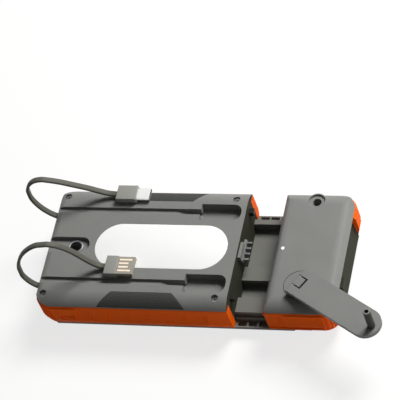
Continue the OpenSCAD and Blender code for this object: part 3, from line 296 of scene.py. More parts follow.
def rounded_box(low, high, radius):
    """Box with round edges: centre + sign(n) x (half - radius) + radius x n, n over a sphere."""
    low, high = np.array(low), np.array(high)
    half, centre = (high - low) / 2, (high + low) / 2
    quarter = quarter_turn(EDGE_STEPS)
    around = np.concatenate([q * math.pi / 2 + quarter for q in range(4)])
    side = np.repeat([(1, 1), (-1, 1), (-1, -1), (1, -1)], EDGE_STEPS, axis=0)
    rise = np.concatenate([quarter - math.pi / 2, quarter])
    n = np.empty((len(rise), len(around), 3))
    n[:, :, 0] = np.cos(rise)[:, None] * np.cos(around)
    n[:, :, 1] = np.cos(rise)[:, None] * np.sin(around)
    n[:, :, 2] = np.sin(rise)[:, None]
    sign = np.empty_like(n)
    sign[:, :, :2] = side
    sign[:, :, 2] = np.repeat([-1, 1], EDGE_STEPS)[:, None]
    points = centre + sign * (half - radius) + radius * n
    return points, tube_faces(*n.shape[:2])


def smooth_step(x):
    """0 below 0, 1 above 1 and 3x^2 - 2x^3 between."""
    x = np.clip(x, 0, 1)
    return x * x * (3 - 2 * x)


def band(x, centre, width, blur):
    """1 inside a band about a centre, falling to 0 over blur at both edges."""
    return smooth_step((width / 2 + blur / 2 - np.abs(x - centre)) / blur)


# Materials


def node(tree, kind, settings=None, **links):
    """Adds a node, sets its values and links its inputs; an input goes by name, or as i0, i1."""
    made = tree.nodes.new(kind)

    def socket(key):
        return made.inputs[int(key[1:]) if key[1:].isdigit() else key.replace("_", " ")]

    for key, value in (settings or {}).items():
        if hasattr(made, key):
            setattr(made, key, value)
        else:
            socket(key).default_value = value
    for key, source in links.items():
        tree.links.new(source, socket(key))
    return made


def surface(name, **values):
    """A new material with constants on its shader's own sockets, its tree, shader and place."""
    made = bpy.data.materials.new(name)
    made.use_nodes = True
    tree = made.node_tree
    shader = tree.nodes["Principled BSDF"]
    for key, value in values.items():
        shader.inputs[key.replace("_", " ")].default_value = value
    return made, tree, shader, node(tree, "ShaderNodeTexCoord").outputs["Object"]


def per_mm(size):
    """Texture scale at which one period of a pattern is so many millimetres."""
    return 1 / (size * MM)


# Where a noise pattern, which keeps near its middle, reaches its darkest and lightest shade
DRIFT = (0.3, 0.7)


def mottled(tree, shader, place, base, spread, size):
    """Base colour that drifts by a share of itself over patches of so many millimetres."""
    noise = node(tree, "ShaderNodeTexNoise", {"Scale": per_mm(size), "Detail": 3.0}, Vector=place)
    ramp = node(tree, "ShaderNodeValToRGB", Fac=noise.outputs["Fac"])
    shares = (1 - spread, 1 + spread)
    for stop, position, share in zip(ramp.color_ramp.elements, DRIFT, shares):
        stop.color = (*[min(1, c * share) for c in base[:3]], 1)
        stop.position = position
    tree.links.new(ramp.outputs["Color"], shader.inputs["Base Color"])
    return noise.outputs["Fac"]


def uneven(tree, shader, pattern, roughness, less, more):
    """Roughness that follows a pattern, from a little less than its mean to a little more."""
    settings = {"To Min": roughness - less, "To Max": roughness + more}
    rough = node(tree, "ShaderNodeMapRange", settings, Value=pattern)
    tree.links.new(rough.outputs["Result"], shader.inputs["Roughness"])


def grain(tree, shader, pattern, strength, depth):
    """Bump that follows a pattern, of a real depth in millimetres."""
    settings = {"Strength": strength, "Distance": depth * MM}
    bump = node(tree, "ShaderNodeBump", settings, Height=pattern)
    tree.links.new(bump.outputs["Normal"], shader.inputs["Normal"])


def moulded(name, base, roughness, shine=0.14):
    """ABS from a spark-eroded mould: a matt skin of fine pits, drawn at 0.9 mm so that it shows."""
    made, tree, shader, place = surface(name, IOR=1.53, Specular_IOR_Level=shine)
    mottled(tree, shader, place, base, spread=0.03, size=14)
    pits = node(tree, "ShaderNodeTexNoise", {"Scale": per_mm(0.9), "Detail": 2.0}, Vector=place)
    uneven(tree, shader, pits.outputs["Fac"], roughness, less=0.06, more=0.06)
    grain(tree, shader, pits.outputs["Fac"], strength=0.35, depth=0.05)
    return made


def soft_rubber(name, base, roughness):
    """Overmoulded thermoplastic rubber: dull, with a faint flow pattern and hardly a highlight."""
    made, tree, shader, place = surface(name, IOR=1.5, Specular_IOR_Level=0.1)
    flow = mottled(tree, shader, place, base, spread=0.03, size=22)
    fine = node(tree, "ShaderNodeTexNoise", {"Scale": per_mm(0.7), "Detail": 2.0}, Vector=place)
    uneven(tree, shader, flow, roughness, less=0.05, more=0.08)
    grain(tree, shader, fine.outputs["Fac"], strength=0.25, depth=0.04)
    return made


def milky(name, base, glow):
    """Opal acrylic diffuser: white, glossy on top and lit a little from behind."""
    made, tree, shader, place = surface(
        name, IOR=1.49, Emission_Color=base, Emission_Strength=glow, Roughness=0.22)
    mottled(tree, shader, place, base, spread=0.01, size=20)
    return made


def bright_metal(name, base, roughness):
    """Plated metal: bright, with fine turning marks that break up its reflections."""
    made, tree, shader, place = surface(name, Metallic=1.0)
    mottled(tree, shader, place, base, spread=0.04, size=3)
    marks = node(tree, "ShaderNodeTexNoise", {"Scale": per_mm(0.5), "Detail": 2.0}, Vector=place)
    uneven(tree, shader, marks.outputs["Fac"], roughness, less=0.06, more=0.1)
    return made


# Solar cells along the panel, where a column of fingers starts and ends off the middle, the bare
# share at each end of a cell, and the printed share of the pitch to each side of a finger's middle
CELLS = 9
COLUMN = (1.9, 29.5)
CELL_MARGIN = 0.09
FINGER_SHARE = 0.2
# Size of the silicon's crystals, drawn coarse so that they show, and their shades
CRYSTAL = 9
CRYSTAL_SHADES = (0.85, 1.25)


def solar_laminate(name, base, finger):
    """Silicon strips under epoxy resin: dark violet cells with pale fingers in two columns."""
    pitch, line = sizes().cell_pitch, sizes().finger_pitch
    made, tree, shader, place = surface(
        name, IOR=1.55, Coat_Weight=0.6, Coat_Roughness=0.08, Roughness=0.35)
    axes = node(tree, "ShaderNodeSeparateXYZ", Vector=place)

    # Fingers lie in the cells along X and in two columns across Y, clear of the cells' edges
    steps = {
        "from_end": ("ADD", "x", CELLS / 2 * pitch),
        "in_cell": ("PINGPONG", "from_end", pitch / 2),
        "clear": ("GREATER_THAN", "in_cell", CELL_MARGIN * pitch),
        "from_line": ("ADD", "x", (CELLS - 1) / 2 * pitch),
        "in_line": ("PINGPONG", "from_line", line / 2),
        "on_line": ("LESS_THAN", "in_line", FINGER_SHARE * line),
        "along": ("ABSOLUTE", "x", 0.0),
        "reach": ("LESS_THAN", "along", CELLS / 2 * pitch),
        "across": ("ABSOLUTE", "y", 0.0),
        "past_middle": ("GREATER_THAN", "across", COLUMN[0] * MM),
        "before_rim": ("LESS_THAN", "across", COLUMN[1] * MM),
        "column": ("MULTIPLY", "past_middle", "before_rim"),
        "cell": ("MULTIPLY", "clear", "reach"),
        "area": ("MULTIPLY", "column", "cell"),
        "mask": ("MULTIPLY", "area", "on_line"),
    }
    values = {"x": axes.outputs["X"], "y": axes.outputs["Y"]}
    for step, (operation, first, second) in steps.items():
        settings, links = {"operation": operation}, {"i0": values[first]}
        if second in values:
            links["i1"] = values[second]
        else:
            settings["i1"] = second
        values[step] = node(tree, "ShaderNodeMath", settings, **links).outputs[0]
    crystal = node(tree, "ShaderNodeTexVoronoi", {"Scale": per_mm(CRYSTAL)}, Vector=place)
    dark, light = ((*[c * share for c in base[:3]], 1) for share in CRYSTAL_SHADES)
    shade = node(tree, "ShaderNodeMix", {"data_type": "RGBA", "i6": dark, "i7": light},
                 i0=crystal.outputs["Distance"])
    mix = node(tree, "ShaderNodeMix", {"data_type": "RGBA", "i7": tuple(finger)},
               i0=values["mask"], i6=shade.outputs[2])
    tree.links.new(mix.outputs[2], shader.inputs["Base Color"])
    return made


MATERIALS = {}


def finishes():
    """Makes each finish once."""
    if MATERIALS:
        return MATERIALS
    c = colours()
    MATERIALS.update(
        housing=moulded("grey moulded ABS", c.housing, roughness=0.5),
        # Darker copy of the housing grey: painted shade for the shell and the module's base.
        shell=moulded("dull moulded ABS", c.shell, roughness=0.5),
        # Darker copy of the housing grey: painted shade for the end walls, also used on the button.
        wall=moulded("dark moulded ABS", c.wall, roughness=0.6, shine=0.03),
        # Darker copy of the grey: painted shade on the knob's side.
        knob=moulded("dark grey moulded nylon", c.knob, roughness=0.45, shine=0.08),
        plug=moulded("pale grey moulded ABS", c.plug, roughness=0.5),
        tongue=moulded("warm grey nylon", c.tongue, roughness=0.5),
        bumper=soft_rubber("orange overmoulded rubber", c.bumper, roughness=0.62),
        pad=soft_rubber("black knurled rubber", c.pad, roughness=0.6),
        black=moulded("black moulded nylon", c.black, roughness=0.42),
        jacket=soft_rubber("grey extruded cable rubber", c.jacket, roughness=0.45),
        lamp=milky("opal acrylic", c.lamp, glow=0.11),
        indicator=milky("lit opal light pipe", c.lamp, glow=1.0),
        panel=solar_laminate("resin-coated silicon", c.cell, c.finger),
        contact=bright_metal("gilt contact strip", c.contact, roughness=0.35),
        steel=bright_metal("bright zinc-plated steel", linear("#b5b6b8"), roughness=0.3),
        dull_steel=bright_metal("dull nickel-plated steel", linear("#77787a"), roughness=0.45),
        shell_steel=bright_metal("polished stainless shell", linear("#e2e2e0"), roughness=0.3),
        brass=bright_metal("turned brass", linear("#c9a75e"), roughness=0.3),
        copper=bright_metal("enamelled copper wire", linear("#b4703f"), roughness=0.35),
        foil=bright_metal("pouch foil", linear("#b4b8bb"), roughness=0.4),
        ferrite=moulded("sintered ferrite", linear("#55555a"), roughness=0.6),
        acetal=moulded("moulded acetal", linear("#e4e0d2"), roughness=0.4),
        green=moulded("green solder mask", linear("#2c5a3c"), roughness=0.35),
        white=moulded("white solder mask", linear("#e8e8e0"), roughness=0.4),
        diode=milky("phosphor resin", linear("#f2e2a0"), glow=0.2),
    )
    return MATERIALS


# Operators, one for each group of pieces, each after the sizes that it uses

# Camera: width of its sensor in millimetres, and its nearest and furthest view in metres
SENSOR = 36
CLIP = (0.05, 20)
# Softboxes: place, what they face and length of a side, in metres
SOFTBOXES = {
    "key": ((0.5, 0.72, 0.97), (0.02, 0.0, 0.02), 0.55),
    "rim": ((1.0, 0.1, 0.35), (0.05, 0.0, 0.02), 0.5),
}
# Floor: half its side and its height in metres, what it throws back, how bright it shows, and how
# much of that is its own light, so that it stays white under a soft shadow
FLOOR_HALF = 4.0
FLOOR_Z = -0.0002
FLOOR_BOUNCE = 0.8
FLOOR_GLOW = 1.06
FLOOR_SHARE = 0.72
WHITE = (1, 1, 1, 1)


class POWERBANK_OT_stage(bpy.types.Operator):
    """Camera, soft light, pale floor and white surroundings"""

    bl_idname = "power_bank.stage"
    bl_label = "Stage"

    def execute(self, context):
        scene = context.scene
        stage = scene.power_bank_stage
        scene.view_settings.view_transform = "Standard"
        data = bpy.data.cameras.new("camera")
        data.lens = stage.camera_lens
        data.sensor_width = SENSOR
        data.clip_start, data.clip_end = CLIP
        camera = bpy.data.objects.new("camera", data)
        camera.location = stage.camera_at
        camera.rotation_euler = stage.camera_turn
        scene.collection.objects.link(camera)
        scene.camera = camera
        for name, (place, target, size) in SOFTBOXES.items():
            self.softbox(name + " softbox", place, target, size, getattr(stage, name))
        self.floor(stage.floor)
        self.room(scene, stage.ambient)
        return {"FINISHED"}

    def softbox(self, name, place, target, size, power):
        """A square area light that faces a target."""
        data = bpy.data.lights.new(name, "AREA")
        data.size = size
        data.energy = power
        lamp = bpy.data.objects.new(name, data)
        lamp.location = place
        away = Vector(place) - Vector(target)
        lamp.rotation_euler = away.to_track_quat("Z", "Y").to_euler()
        bpy.context.scene.collection.objects.link(lamp)

    def seen(self, tree):
        """1 for rays that show the surroundings: camera, glossy and transmission rays."""
        path = node(tree, "ShaderNodeLightPath")
        most = {"operation": "MAXIMUM"}
        first = node(tree, "ShaderNodeMath", most, i0=path.outputs["Is Camera Ray"],
                     i1=path.outputs["Is Glossy Ray"])
        both = node(tree, "ShaderNodeMath", most, i0=first.outputs[0],
                    i1=path.outputs["Is Transmission Ray"])
        return both.outputs[0]

    def floor(self, tint):
        """A wide plane that shows white with a soft shadow, and throws light back upwards."""
        mesh = bpy.data.meshes.new("floor")
        signs = ((-1, -1), (1, -1), (1, 1), (-1, 1))
        corners = [(x * FLOOR_HALF, y * FLOOR_HALF, FLOOR_Z) for x, y in signs]
        mesh.from_pydata(corners, [], [(0, 1, 2, 3)])
        made = bpy.data.objects.new("floor", mesh)
        bpy.context.scene.collection.objects.link(made)
        cloth = bpy.data.materials.new("pale paper sweep")
        cloth.use_nodes = True
        tree = cloth.node_tree
        tree.nodes.clear()
        bounce = node(tree, "ShaderNodeBsdfDiffuse", {"Color": (*[FLOOR_BOUNCE] * 3, 1)})
        paper = node(tree, "ShaderNodeBsdfDiffuse", {"Color": tuple(tint)})
        glow = node(tree, "ShaderNodeEmission", {"Color": WHITE, "Strength": FLOOR_GLOW})
        pale = node(tree, "ShaderNodeMixShader", {"Fac": FLOOR_SHARE}, i1=paper.outputs[0],
                    i2=glow.outputs[0])
        mix = node(tree, "ShaderNodeMixShader", i0=self.seen(tree), i1=bounce.outputs[0],
                   i2=pale.outputs[0])
        node(tree, "ShaderNodeOutputMaterial", Surface=mix.outputs[0])
        mesh.materials.append(cloth)

    def room(self, scene, strength):
        """A world that lights the object evenly and shows white."""
        scene.world = bpy.data.worlds.new("white room")
        scene.world.use_nodes = True
        tree = scene.world.node_tree
        tree.nodes.clear()
        light = node(tree, "ShaderNodeBackground", {"Color": WHITE, "Strength": strength})
        white = node(tree, "ShaderNodeBackground", {"Color": WHITE, "Strength": 1.0})
        mix = node(tree, "ShaderNodeMixShader", i0=self.seen(tree), i1=light.outputs[0],
                   i2=white.outputs[0])
        node(tree, "ShaderNodeOutputWorld", Surface=mix.outputs[0])


# Routes of the two flat cables from the casing to the plug
USB_ROUTE = [
    (-80, -25, 22), (-84, -25, 24), (-87.5, -24.8, 28.5), (-89.5, -24.5, 34),
    (-89.5, -24, 40), (-87.5, -23.6, 46.5), (-83.5, -23, 53), (-78, -22.3, 58),
    (-72.5, -21.5, 60.5), (-67, -20.8, 60.5), (-62, -19.9, 58.1), (-57.8, -18.9, 54),
    (-54, -18, 48.5), (-50.5, -17.2, 42), (-47, -16.7, 36.6), (-43.2, -16.5, 33.1),
    (-39.1, -16.4, 32.2),
]
SLIM_ROUTE = [
    (-80, 25, 22), (-84.5, 25, 24.5), (-89, 25.3, 29), (-92.3, 25.7, 34.5),
    (-94.2, 26.2, 40.5), (-94.3, 26.8, 46.5), (-92.3, 27.4, 51.3), (-88.5, 28, 54.5),
    (-84, 28.7, 55.2), (-79.5, 29.5, 53.5), (-73.6, 30.7, 50.2), (-66.8, 32.2, 45.3),
    (-59.8, 33.7, 40.2), (-54, 34.6, 36), (-48.6, 35.1, 33), (-43.2, 35.2, 32.2),
]
# Points that smooth each stretch of a route, and a cable's edge radius as a share of its thickness
ROUTE_STEPS = 7
CORD_ROUND = 0.42
# Round edges of the plugs' grips, and of the wide plug's tongue and contacts
PLUG_EDGE = 0.45
TONGUE_EDGE = 0.15
CONTACT_EDGE = 0.05


def smooth_route(route):
    """Cubic through a route's points, in metres; each tangent is half the neighbours' chord."""
    p = np.array(route) * MM
    tangent = np.gradient(p, axis=0)
    tangent[0] = (-np.linalg.norm(p[1] - p[0]), 0, 0)
    tangent[-1] = (np.linalg.norm(p[-1] - p[-2]), 0, 0)
    t = np.linspace(0, 1, ROUTE_STEPS, endpoint=False)[None, :, None]
    a, b = p[:-1, None], p[1:, None]
    u, v = tangent[:-1, None], tangent[1:, None]
    curve = (2 * t ** 3 - 3 * t ** 2 + 1) * a + (t ** 3 - 2 * t ** 2 + t) * u
    curve = curve + (3 * t ** 2 - 2 * t ** 3) * b + (t ** 3 - t ** 2) * v
    curve = np.concatenate([curve.reshape(-1, 3), p[-1:]])
    return np.clip(curve, p.min(axis=0), p.max(axis=0))


def flat_cord(path, width, thickness):
    """Flat section carried along a path: path + w x side + h x up, with side across and level."""
    heading = np.gradient(path, axis=0)
    heading[0], heading[-1] = (-1, 0, 0), (1, 0, 0)
    heading /= np.linalg.norm(heading, axis=1)[:, None]
    side = np.array([0.0, 1.0, 0.0]) - heading[:, 1:2] * heading
    side /= np.linalg.norm(side, axis=1)[:, None]
    up = np.cross(heading, side)
    corner = np.array([width / 2, thickness / 2])
    section, _ = round_rectangle(-corner, corner, CORD_ROUND * thickness, EDGE_STEPS)
    across, rise = section[None, :, :1], section[None, :, 1:]
    points = path[:, None] + across * side[:, None] + rise * up[:, None]
    return points, tube_faces(*points.shape[:2])


class POWERBANK_OT_cables(bpy.types.Operator):
    """Two flat charging cables with their plugs"""

    bl_idname = "power_bank.cables"
    bl_label = "Cables"

    def execute(self, context):
        done = finishes()
        grip = self.grip("usb_plug_body")
        tongue = dressed(
            "usb_plug_tongue", [done["tongue"]], "main", TONGUE_EDGE * MM)
        strips = dressed(
            "usb_plug_contacts", [done["contact"]], "main", CONTACT_EDGE * MM)
        self.cable("usb_cable", USB_ROUTE, [grip, tongue, strips])
        grip = self.grip("slim_plug_body")
        shell = dressed("slim_plug_shell", [done["shell_steel"]], "main")
        blade = dressed("slim_plug_tongue", [done["black"]], "main")
        self.cable("slim_cable", SLIM_ROUTE, [grip, shell, blade])
        return {"FINISHED"}

    def grip(self, name):
        """A plug's grip, with round edges."""
        mesh = new_mesh(name + "_finish", *rounded_box(*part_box(name), PLUG_EDGE * MM))
        return piece(name + "_finish", mesh, [finishes()["plug"]], "main", name)

    def cable(self, name, route, pieces):
        """A flat cable along its route; the pieces of its plug that it is given are not used."""
        path = smooth_route(route)
        mesh = new_mesh(name + "_finish", *flat_cord(path, sizes().cord_w, sizes().cord_t))
        made = piece(name + "_finish", mesh, [finishes()["jacket"]], "main", name)


# Painted shade on the end walls: where it begins along X, and the least X of the normals of the
# faces that take it
END_SHADE_START = {"rear_cover": 30, "module_housing": 98}
END_SHADE_NORMAL = 0.94


class POWERBANK_OT_shells(bpy.types.Operator):
    """Cover, shell and module housing, with moulded edges"""

    bl_idname = "power_bank.shells"
    bl_label = "Shells"

    def execute(self, context):
        done = finishes()
        edge = sizes().edge
        dressed("front_shell", [done["shell"]], "main", edge)
        dressed("module_base", [done["shell"]], "module")
        for name, body in (("rear_cover", "main"), ("module_housing", "module")):
            # The faces at the ends that look along +X take the darker grey, painted shade.
            made = dressed(name, [done["housing"], done["wall"]], body, edge)
            self.paint_end_shade(made.data, END_SHADE_START[name] * MM)
        return {"FINISHED"}

    def paint_end_shade(self, mesh, low):
        """Paints shade on the faces past a place along X that look along it: they take the second,
        darker finish.
        """
        count = len(mesh.polygons)
        normals, centres = np.empty(3 * count), np.empty(3 * count)
        mesh.polygons.foreach_get("normal", normals)
        mesh.polygons.foreach_get("center", centres)
        shaded_faces = (normals[0::3] > END_SHADE_NORMAL) & (centres[0::3] > low)
        mesh.polygons.foreach_set("material_index", shaded_faces.astype(np.int32))


# Bumpers: half the end wall's opening, length of the corner's bulge past its radius, first angle
# and step of the grooves in degrees, and the first and last place of the raised bars along a side
BUMPERS = {
    "main_bumper": {
        "body": "main", "end_half": 30, "bulge_l": 14.5, "grooves": (96, 10), "bars": (33, 112)},
    "module_bumper": {
        "body": "module", "end_half": 26, "bulge_l": 21, "grooves": (14, 15), "bars": (7, 8)},
}
# Half the width over the corners; how far the flank is drawn in at the bottom, and its slope
WIDEST = 42
FLANK_D = 2.1
FLANK_SLOPE = 3.0 / 9.2
# Spacing of points along a strip, their number up its outer face, across its top and up its back,
# its round edges, the angle up to which it is smooth, and the softness of its relief
STRIP_STEP = 0.25
STRIP_POINTS = (70, 4, 3)
STRIP_EDGE = 0.7
STRIP_ANGLE = 50
SOFT = 0.5
# Length over which the corner's bulge begins, and how far under the top edge it ends
BULGE_START = 2
BULGE_TOP = 1
# Grooves at a corner, how far they stay from the upper and lower edge, and the bars' height up
GROOVES = 6
GROOVE_RIM = 2.4
BAR_TALL = 8
# Engraved outline on the main bumper: middle along X and Z, half length and height, width, depth
OUTLINE = (-62, 14.5, 4.2, 2.0)
OUTLINE_W = 0.8
OUTLINE_D = 0.6
# Knob's storage tube: middle along X, width and softness; past a depth, the strip is thinner
# behind it by a share
STORE_X = 79.5
STORE_W = 11
STORE_SOFT = 1.5
STORE_D = 2.5
STORE_SHARE = 0.42


class POWERBANK_OT_bumpers(bpy.types.Operator):
    """Orange rubber bumpers with grip grooves and raised bars"""

    bl_idname = "power_bank.bumpers"
    bl_label = "Bumpers"

    def execute(self, context):
        rubber = [finishes()["bumper"]]
        for bumper, kind in BUMPERS.items():
            for side, word in ((-1, "_near"), (1, "_far")):
                mesh = new_mesh(bumper + word, *self.strip(bumper, kind, side))
                piece(bumper + word, mesh, rubber, kind["body"], bumper,
                      STRIP_ANGLE)
        return {"FINISHED"}

    def route(self, start, end, end_half):
        """Plan of the outer face: along the side, a quarter turn at the corner, across the end."""
        r, half, way = sizes().corner, WIDEST * MM, math.copysign(1, end - start)
        step = STRIP_STEP * MM
        x = np.arange(0, abs(end - start) - r, step)
        straight = np.stack([start + way * x, np.full(len(x), half)], axis=1)
        a = np.arange(0, math.pi / 2, step / r)
        arc = np.stack([end - way * r + way * r * np.sin(a), half - r + r * np.cos(a)], axis=1)
        y = np.linspace(half - r, end_half, max(3, int((half - r - end_half) / step)))
        across = np.stack([np.full(len(y), end), y], axis=1)
        path = np.concatenate([straight, arc, across])
        normals = np.concatenate([
            np.tile((0.0, 1.0), (len(x), 1)), np.stack([way * np.sin(a), np.cos(a)], axis=1),
            np.tile((way, 0.0), (len(y), 1))])
        turn = np.concatenate([np.zeros(len(x)), np.degrees(a), np.full(len(y), 90.0)])
        return path, normals, turn

    def section(self, z0, z1):
        """Depth and height of a closed section: outer face with round edges, top, back, bottom."""
        edge, back = STRIP_EDGE * MM, sizes().bumper_t
        face, top, behind = STRIP_POINTS
        a = quarter_turn(RIM_STEPS)
        tall = np.linspace(z0 + edge, z1 - edge, face)
        inset, rise = edge * (1 - np.cos(a)), edge * np.sin(a)
        depth = np.concatenate([
            np.zeros(face), inset, np.linspace(2 * edge, back, top), [back] * behind,
            np.linspace(back, 2 * edge, top), inset[::-1]])
        height = np.concatenate([
            tall, z1 - edge + rise, np.full(top, z1), np.linspace(z1, z0, behind + 2)[1:-1],
            np.full(top, z0), (z0 + edge - rise)[::-1]])
        return depth[None, :], height[None, :]

    def strip(self, bumper, kind, side):
        """Section carried round the casing; its outer face is drawn in by the relief, which fades
        towards the back as (1 - depth / thickness)^2, so that the back stays on the casing."""
        low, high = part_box(bumper)
        start, end = (high.x, low.x) if kind["body"] == "main" else (low.x, high.x)
        path, normals, turn = self.route(start, end, kind["end_half"] * MM)
        x, turn = path[:, 0:1], turn[:, None]
        depth0, z = self.section(low.z, high.z)
        inset = self.relief(kind, x, turn, z, start, end, low.z, high.z)
        fade = np.clip(1 - depth0 / sizes().bumper_t, 0, 1) ** 2
        depth = depth0 + np.maximum(inset, 0) * fade
        if kind["body"] == "main":
            depth = depth + self.outline(x, z) * (turn == 0) * (depth0 == 0)
        else:
            tube = band(x, STORE_X * MM, STORE_W * MM, STORE_SOFT * MM)
            depth = depth * (1 - STORE_SHARE * tube * (depth0 > STORE_D * MM))
        height = np.broadcast_to(z, depth.shape)
        return swept(path * (1, side), normals * (1, side), depth, height)

    def relief(self, kind, x, turn, z, start, end, low, high):
        """Depth of the outer face under the corners: max(waist, flank) + grooves - bars, each a
        smooth function of the place along the path and of the height."""
        s, soft, middle = sizes(), SOFT * MM, (low + high) / 2
        to_end, from_edge = np.abs(x - end), np.abs(x - min(start, end))
        reach = s.corner + kind["bulge_l"] * MM
        corner = smooth_step((reach - to_end) / (BULGE_START * MM) + 0.5)
        corner = corner * smooth_step((high - BULGE_TOP * MM - z) / soft)
        flank = FLANK_D * MM - (z - low) * FLANK_SLOPE
        inset = np.maximum(s.bulge * (1 - corner), flank)
        first, step = kind["grooves"]
        groove_tall = band(z, middle, high - low - 2 * GROOVE_RIM * MM, soft)
        for angle in first + step * np.arange(GROOVES):
            place = angle - 90 if end < start else 90 - angle
            on = band(np.radians(turn - place) * s.corner, 0, s.groove_w, soft)
            inset = inset + s.groove_d * on * groove_tall
        for spot in np.arange(kind["bars"][0] * MM, kind["bars"][1] * MM, s.bar_pitch):
            on = band(from_edge, spot + s.bar_w / 2, s.bar_w, soft) * (turn == 0)
            inset = inset - s.bar_h * on * band(z, middle, BAR_TALL * MM, soft)
        return inset

    def outline(self, x, z):
        """Engraved line round a rectangle: a band where the distance to its edge is nothing."""
        middle, height, half_l, half_h = (v * MM for v in OUTLINE)
        along, up = np.abs(x - middle) - half_l, np.abs(z - height) - half_h
        outside = np.hypot(np.maximum(along, 0), np.maximum(up, 0))
        away = outside + np.minimum(np.maximum(along, up), 0)
        return OUTLINE_D * MM * band(away, 0, OUTLINE_W * MM, SOFT * MM)


# Shoulder under the grip pads: its axis across Y and Z, and its radius
SHOULDER = (32, 18, 12)
# Pads: middle along X, half length at the upper edge, where that edge lies off the axis and how the
# half length grows from there, the shoulder's angles that they cover, and points along and across
PAD_X = -14.6
PAD_HALF = 18.6
PAD_TOP = 0.2
PAD_FLARE = 9.7 / 9.8
PAD_ARC = (1.2, 48.2)
PAD_POINTS = (261, 61)
# Depth of a pad, how far its edge is sunk, its rim's width and height, the knurl's height, and the
# angle up to which the pad is smooth
PAD_T = 0.75
PAD_SINK = 0.2
PAD_RIM = (0.5, 0.1)
KNURL_H = 0.3
PAD_ANGLE = 60


class POWERBANK_OT_grip_pads(bpy.types.Operator):
    """Knurled rubber pads that follow the crowned shoulders"""

    bl_idname = "power_bank.grip_pads"
    bl_label = "Grip pads"

    def execute(self, context):
        rubber = [finishes()["pad"]]
        for side, name in ((-1, "grip_pad_near"), (1, "grip_pad_far")):
            mesh = new_mesh(name, *self.patch(side))
            piece(name, mesh, rubber, "main", "grip_pads", PAD_ANGLE)
        return {"FINISHED"}

    def patch(self, side):
        """Patch of the shoulder's cylinder: (x0 + L(y) a, y0 + r sin b, z0 + r cos b), with r
        raised by a knurl, cos^2 times cos^2 of the diagonals, that sinks to nothing at the rim."""
        radius = SHOULDER[2] * MM
        a = np.linspace(-1, 1, PAD_POINTS[0])[:, None]
        b = np.radians(np.linspace(*PAD_ARC, PAD_POINTS[1]))[None, :]
        half = PAD_HALF * MM + (radius * np.sin(b) - PAD_TOP * MM) * PAD_FLARE
        x = PAD_X * MM + half * a
        arc = radius * b
        pitch, (wide, tall) = sizes().knurl, (v * MM for v in PAD_RIM)
        one = np.cos(math.pi * (x + arc) / pitch)
        two = np.cos(math.pi * (x - arc) / pitch)
        rim = np.minimum((1 - np.abs(a)) * half, np.minimum(arc - arc.min(), arc.max() - arc))
        lift = KNURL_H * MM * (one * two) ** 2 * smooth_step((rim - wide) / wide)
        lift = lift + tall * smooth_step(rim / wide) - PAD_SINK * MM
        top = self.shell(x, radius + lift, b, side)
        bottom = self.shell(x, np.full_like(lift, radius - PAD_T * MM), b, side)
        rows, cols = top.shape[:2]
        count = rows * cols
        quads = grid_faces(rows, cols)
        rim_line = np.concatenate([
            np.arange(cols), np.arange(1, rows) * cols + cols - 1,
            (rows - 1) * cols + np.arange(cols - 2, -1, -1), np.arange(rows - 2, 0, -1) * cols])
        after = np.roll(rim_line, -1)
        walls = np.stack([rim_line, after, after + count, rim_line + count], axis=1)
        points = np.concatenate([top.reshape(-1, 3), bottom.reshape(-1, 3)])
        return points, np.concatenate([quads, quads[:, ::-1] + count, walls])

    def shell(self, x, radius, b, side):
        """Points of the shoulder's cylinder at a place along X, a radius and an angle."""
        centre_y, centre_z, _ = (v * MM for v in SHOULDER)
        y, z = centre_y + radius * np.sin(b), centre_z + radius * np.cos(b)
        return np.stack([x, side * y, z], axis=2)


# Radius of the solar panel's corners, and points on a quarter of the lamp window's round ends
PANEL_R = 5
LAMP_STEPS = 40


class POWERBANK_OT_panel_and_lamp(bpy.types.Operator):
    """Solar panel on the underside and the lamp window on top"""

    bl_idname = "power_bank.panel_and_lamp"
    bl_label = "Panel and lamp"

    def execute(self, context):
        done = finishes()
        low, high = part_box("solar_panel")
        outline = round_rectangle(low, high, PANEL_R * MM)
        mesh = new_mesh("solar_panel_finish", *plate(*outline, low.z, high.z, sizes().edge))
        piece("solar_panel_finish", mesh, [done["panel"]], "main", "solar_panel")
        low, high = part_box("lamp_lens")
        outline = round_rectangle(low, high, (high.y - low.y) / 2, LAMP_STEPS)
        mesh = new_mesh("lamp_lens_finish", *plate(*outline, low.z, high.z, sizes().edge))
        piece("lamp_lens_finish", mesh, [done["lamp"]], "main", "lamp_lens")
        dressed("indicator_lens", [done["indicator"]], "module")
        return {"FINISHED"}


# Round edges of the crank's hub
HUB_EDGE = 0.2
# Knob: radius of its bore and of the pin head's recess, depth of that recess, its round rims, and
# the height of the ring at its top that keeps the housing grey above the side's painted shade
KNOB_BORE = 0.85
KNOB_HEAD = 1.2
KNOB_STEP = 2.3
KNOB_RIM = 0.45
KNOB_RING = 0.2


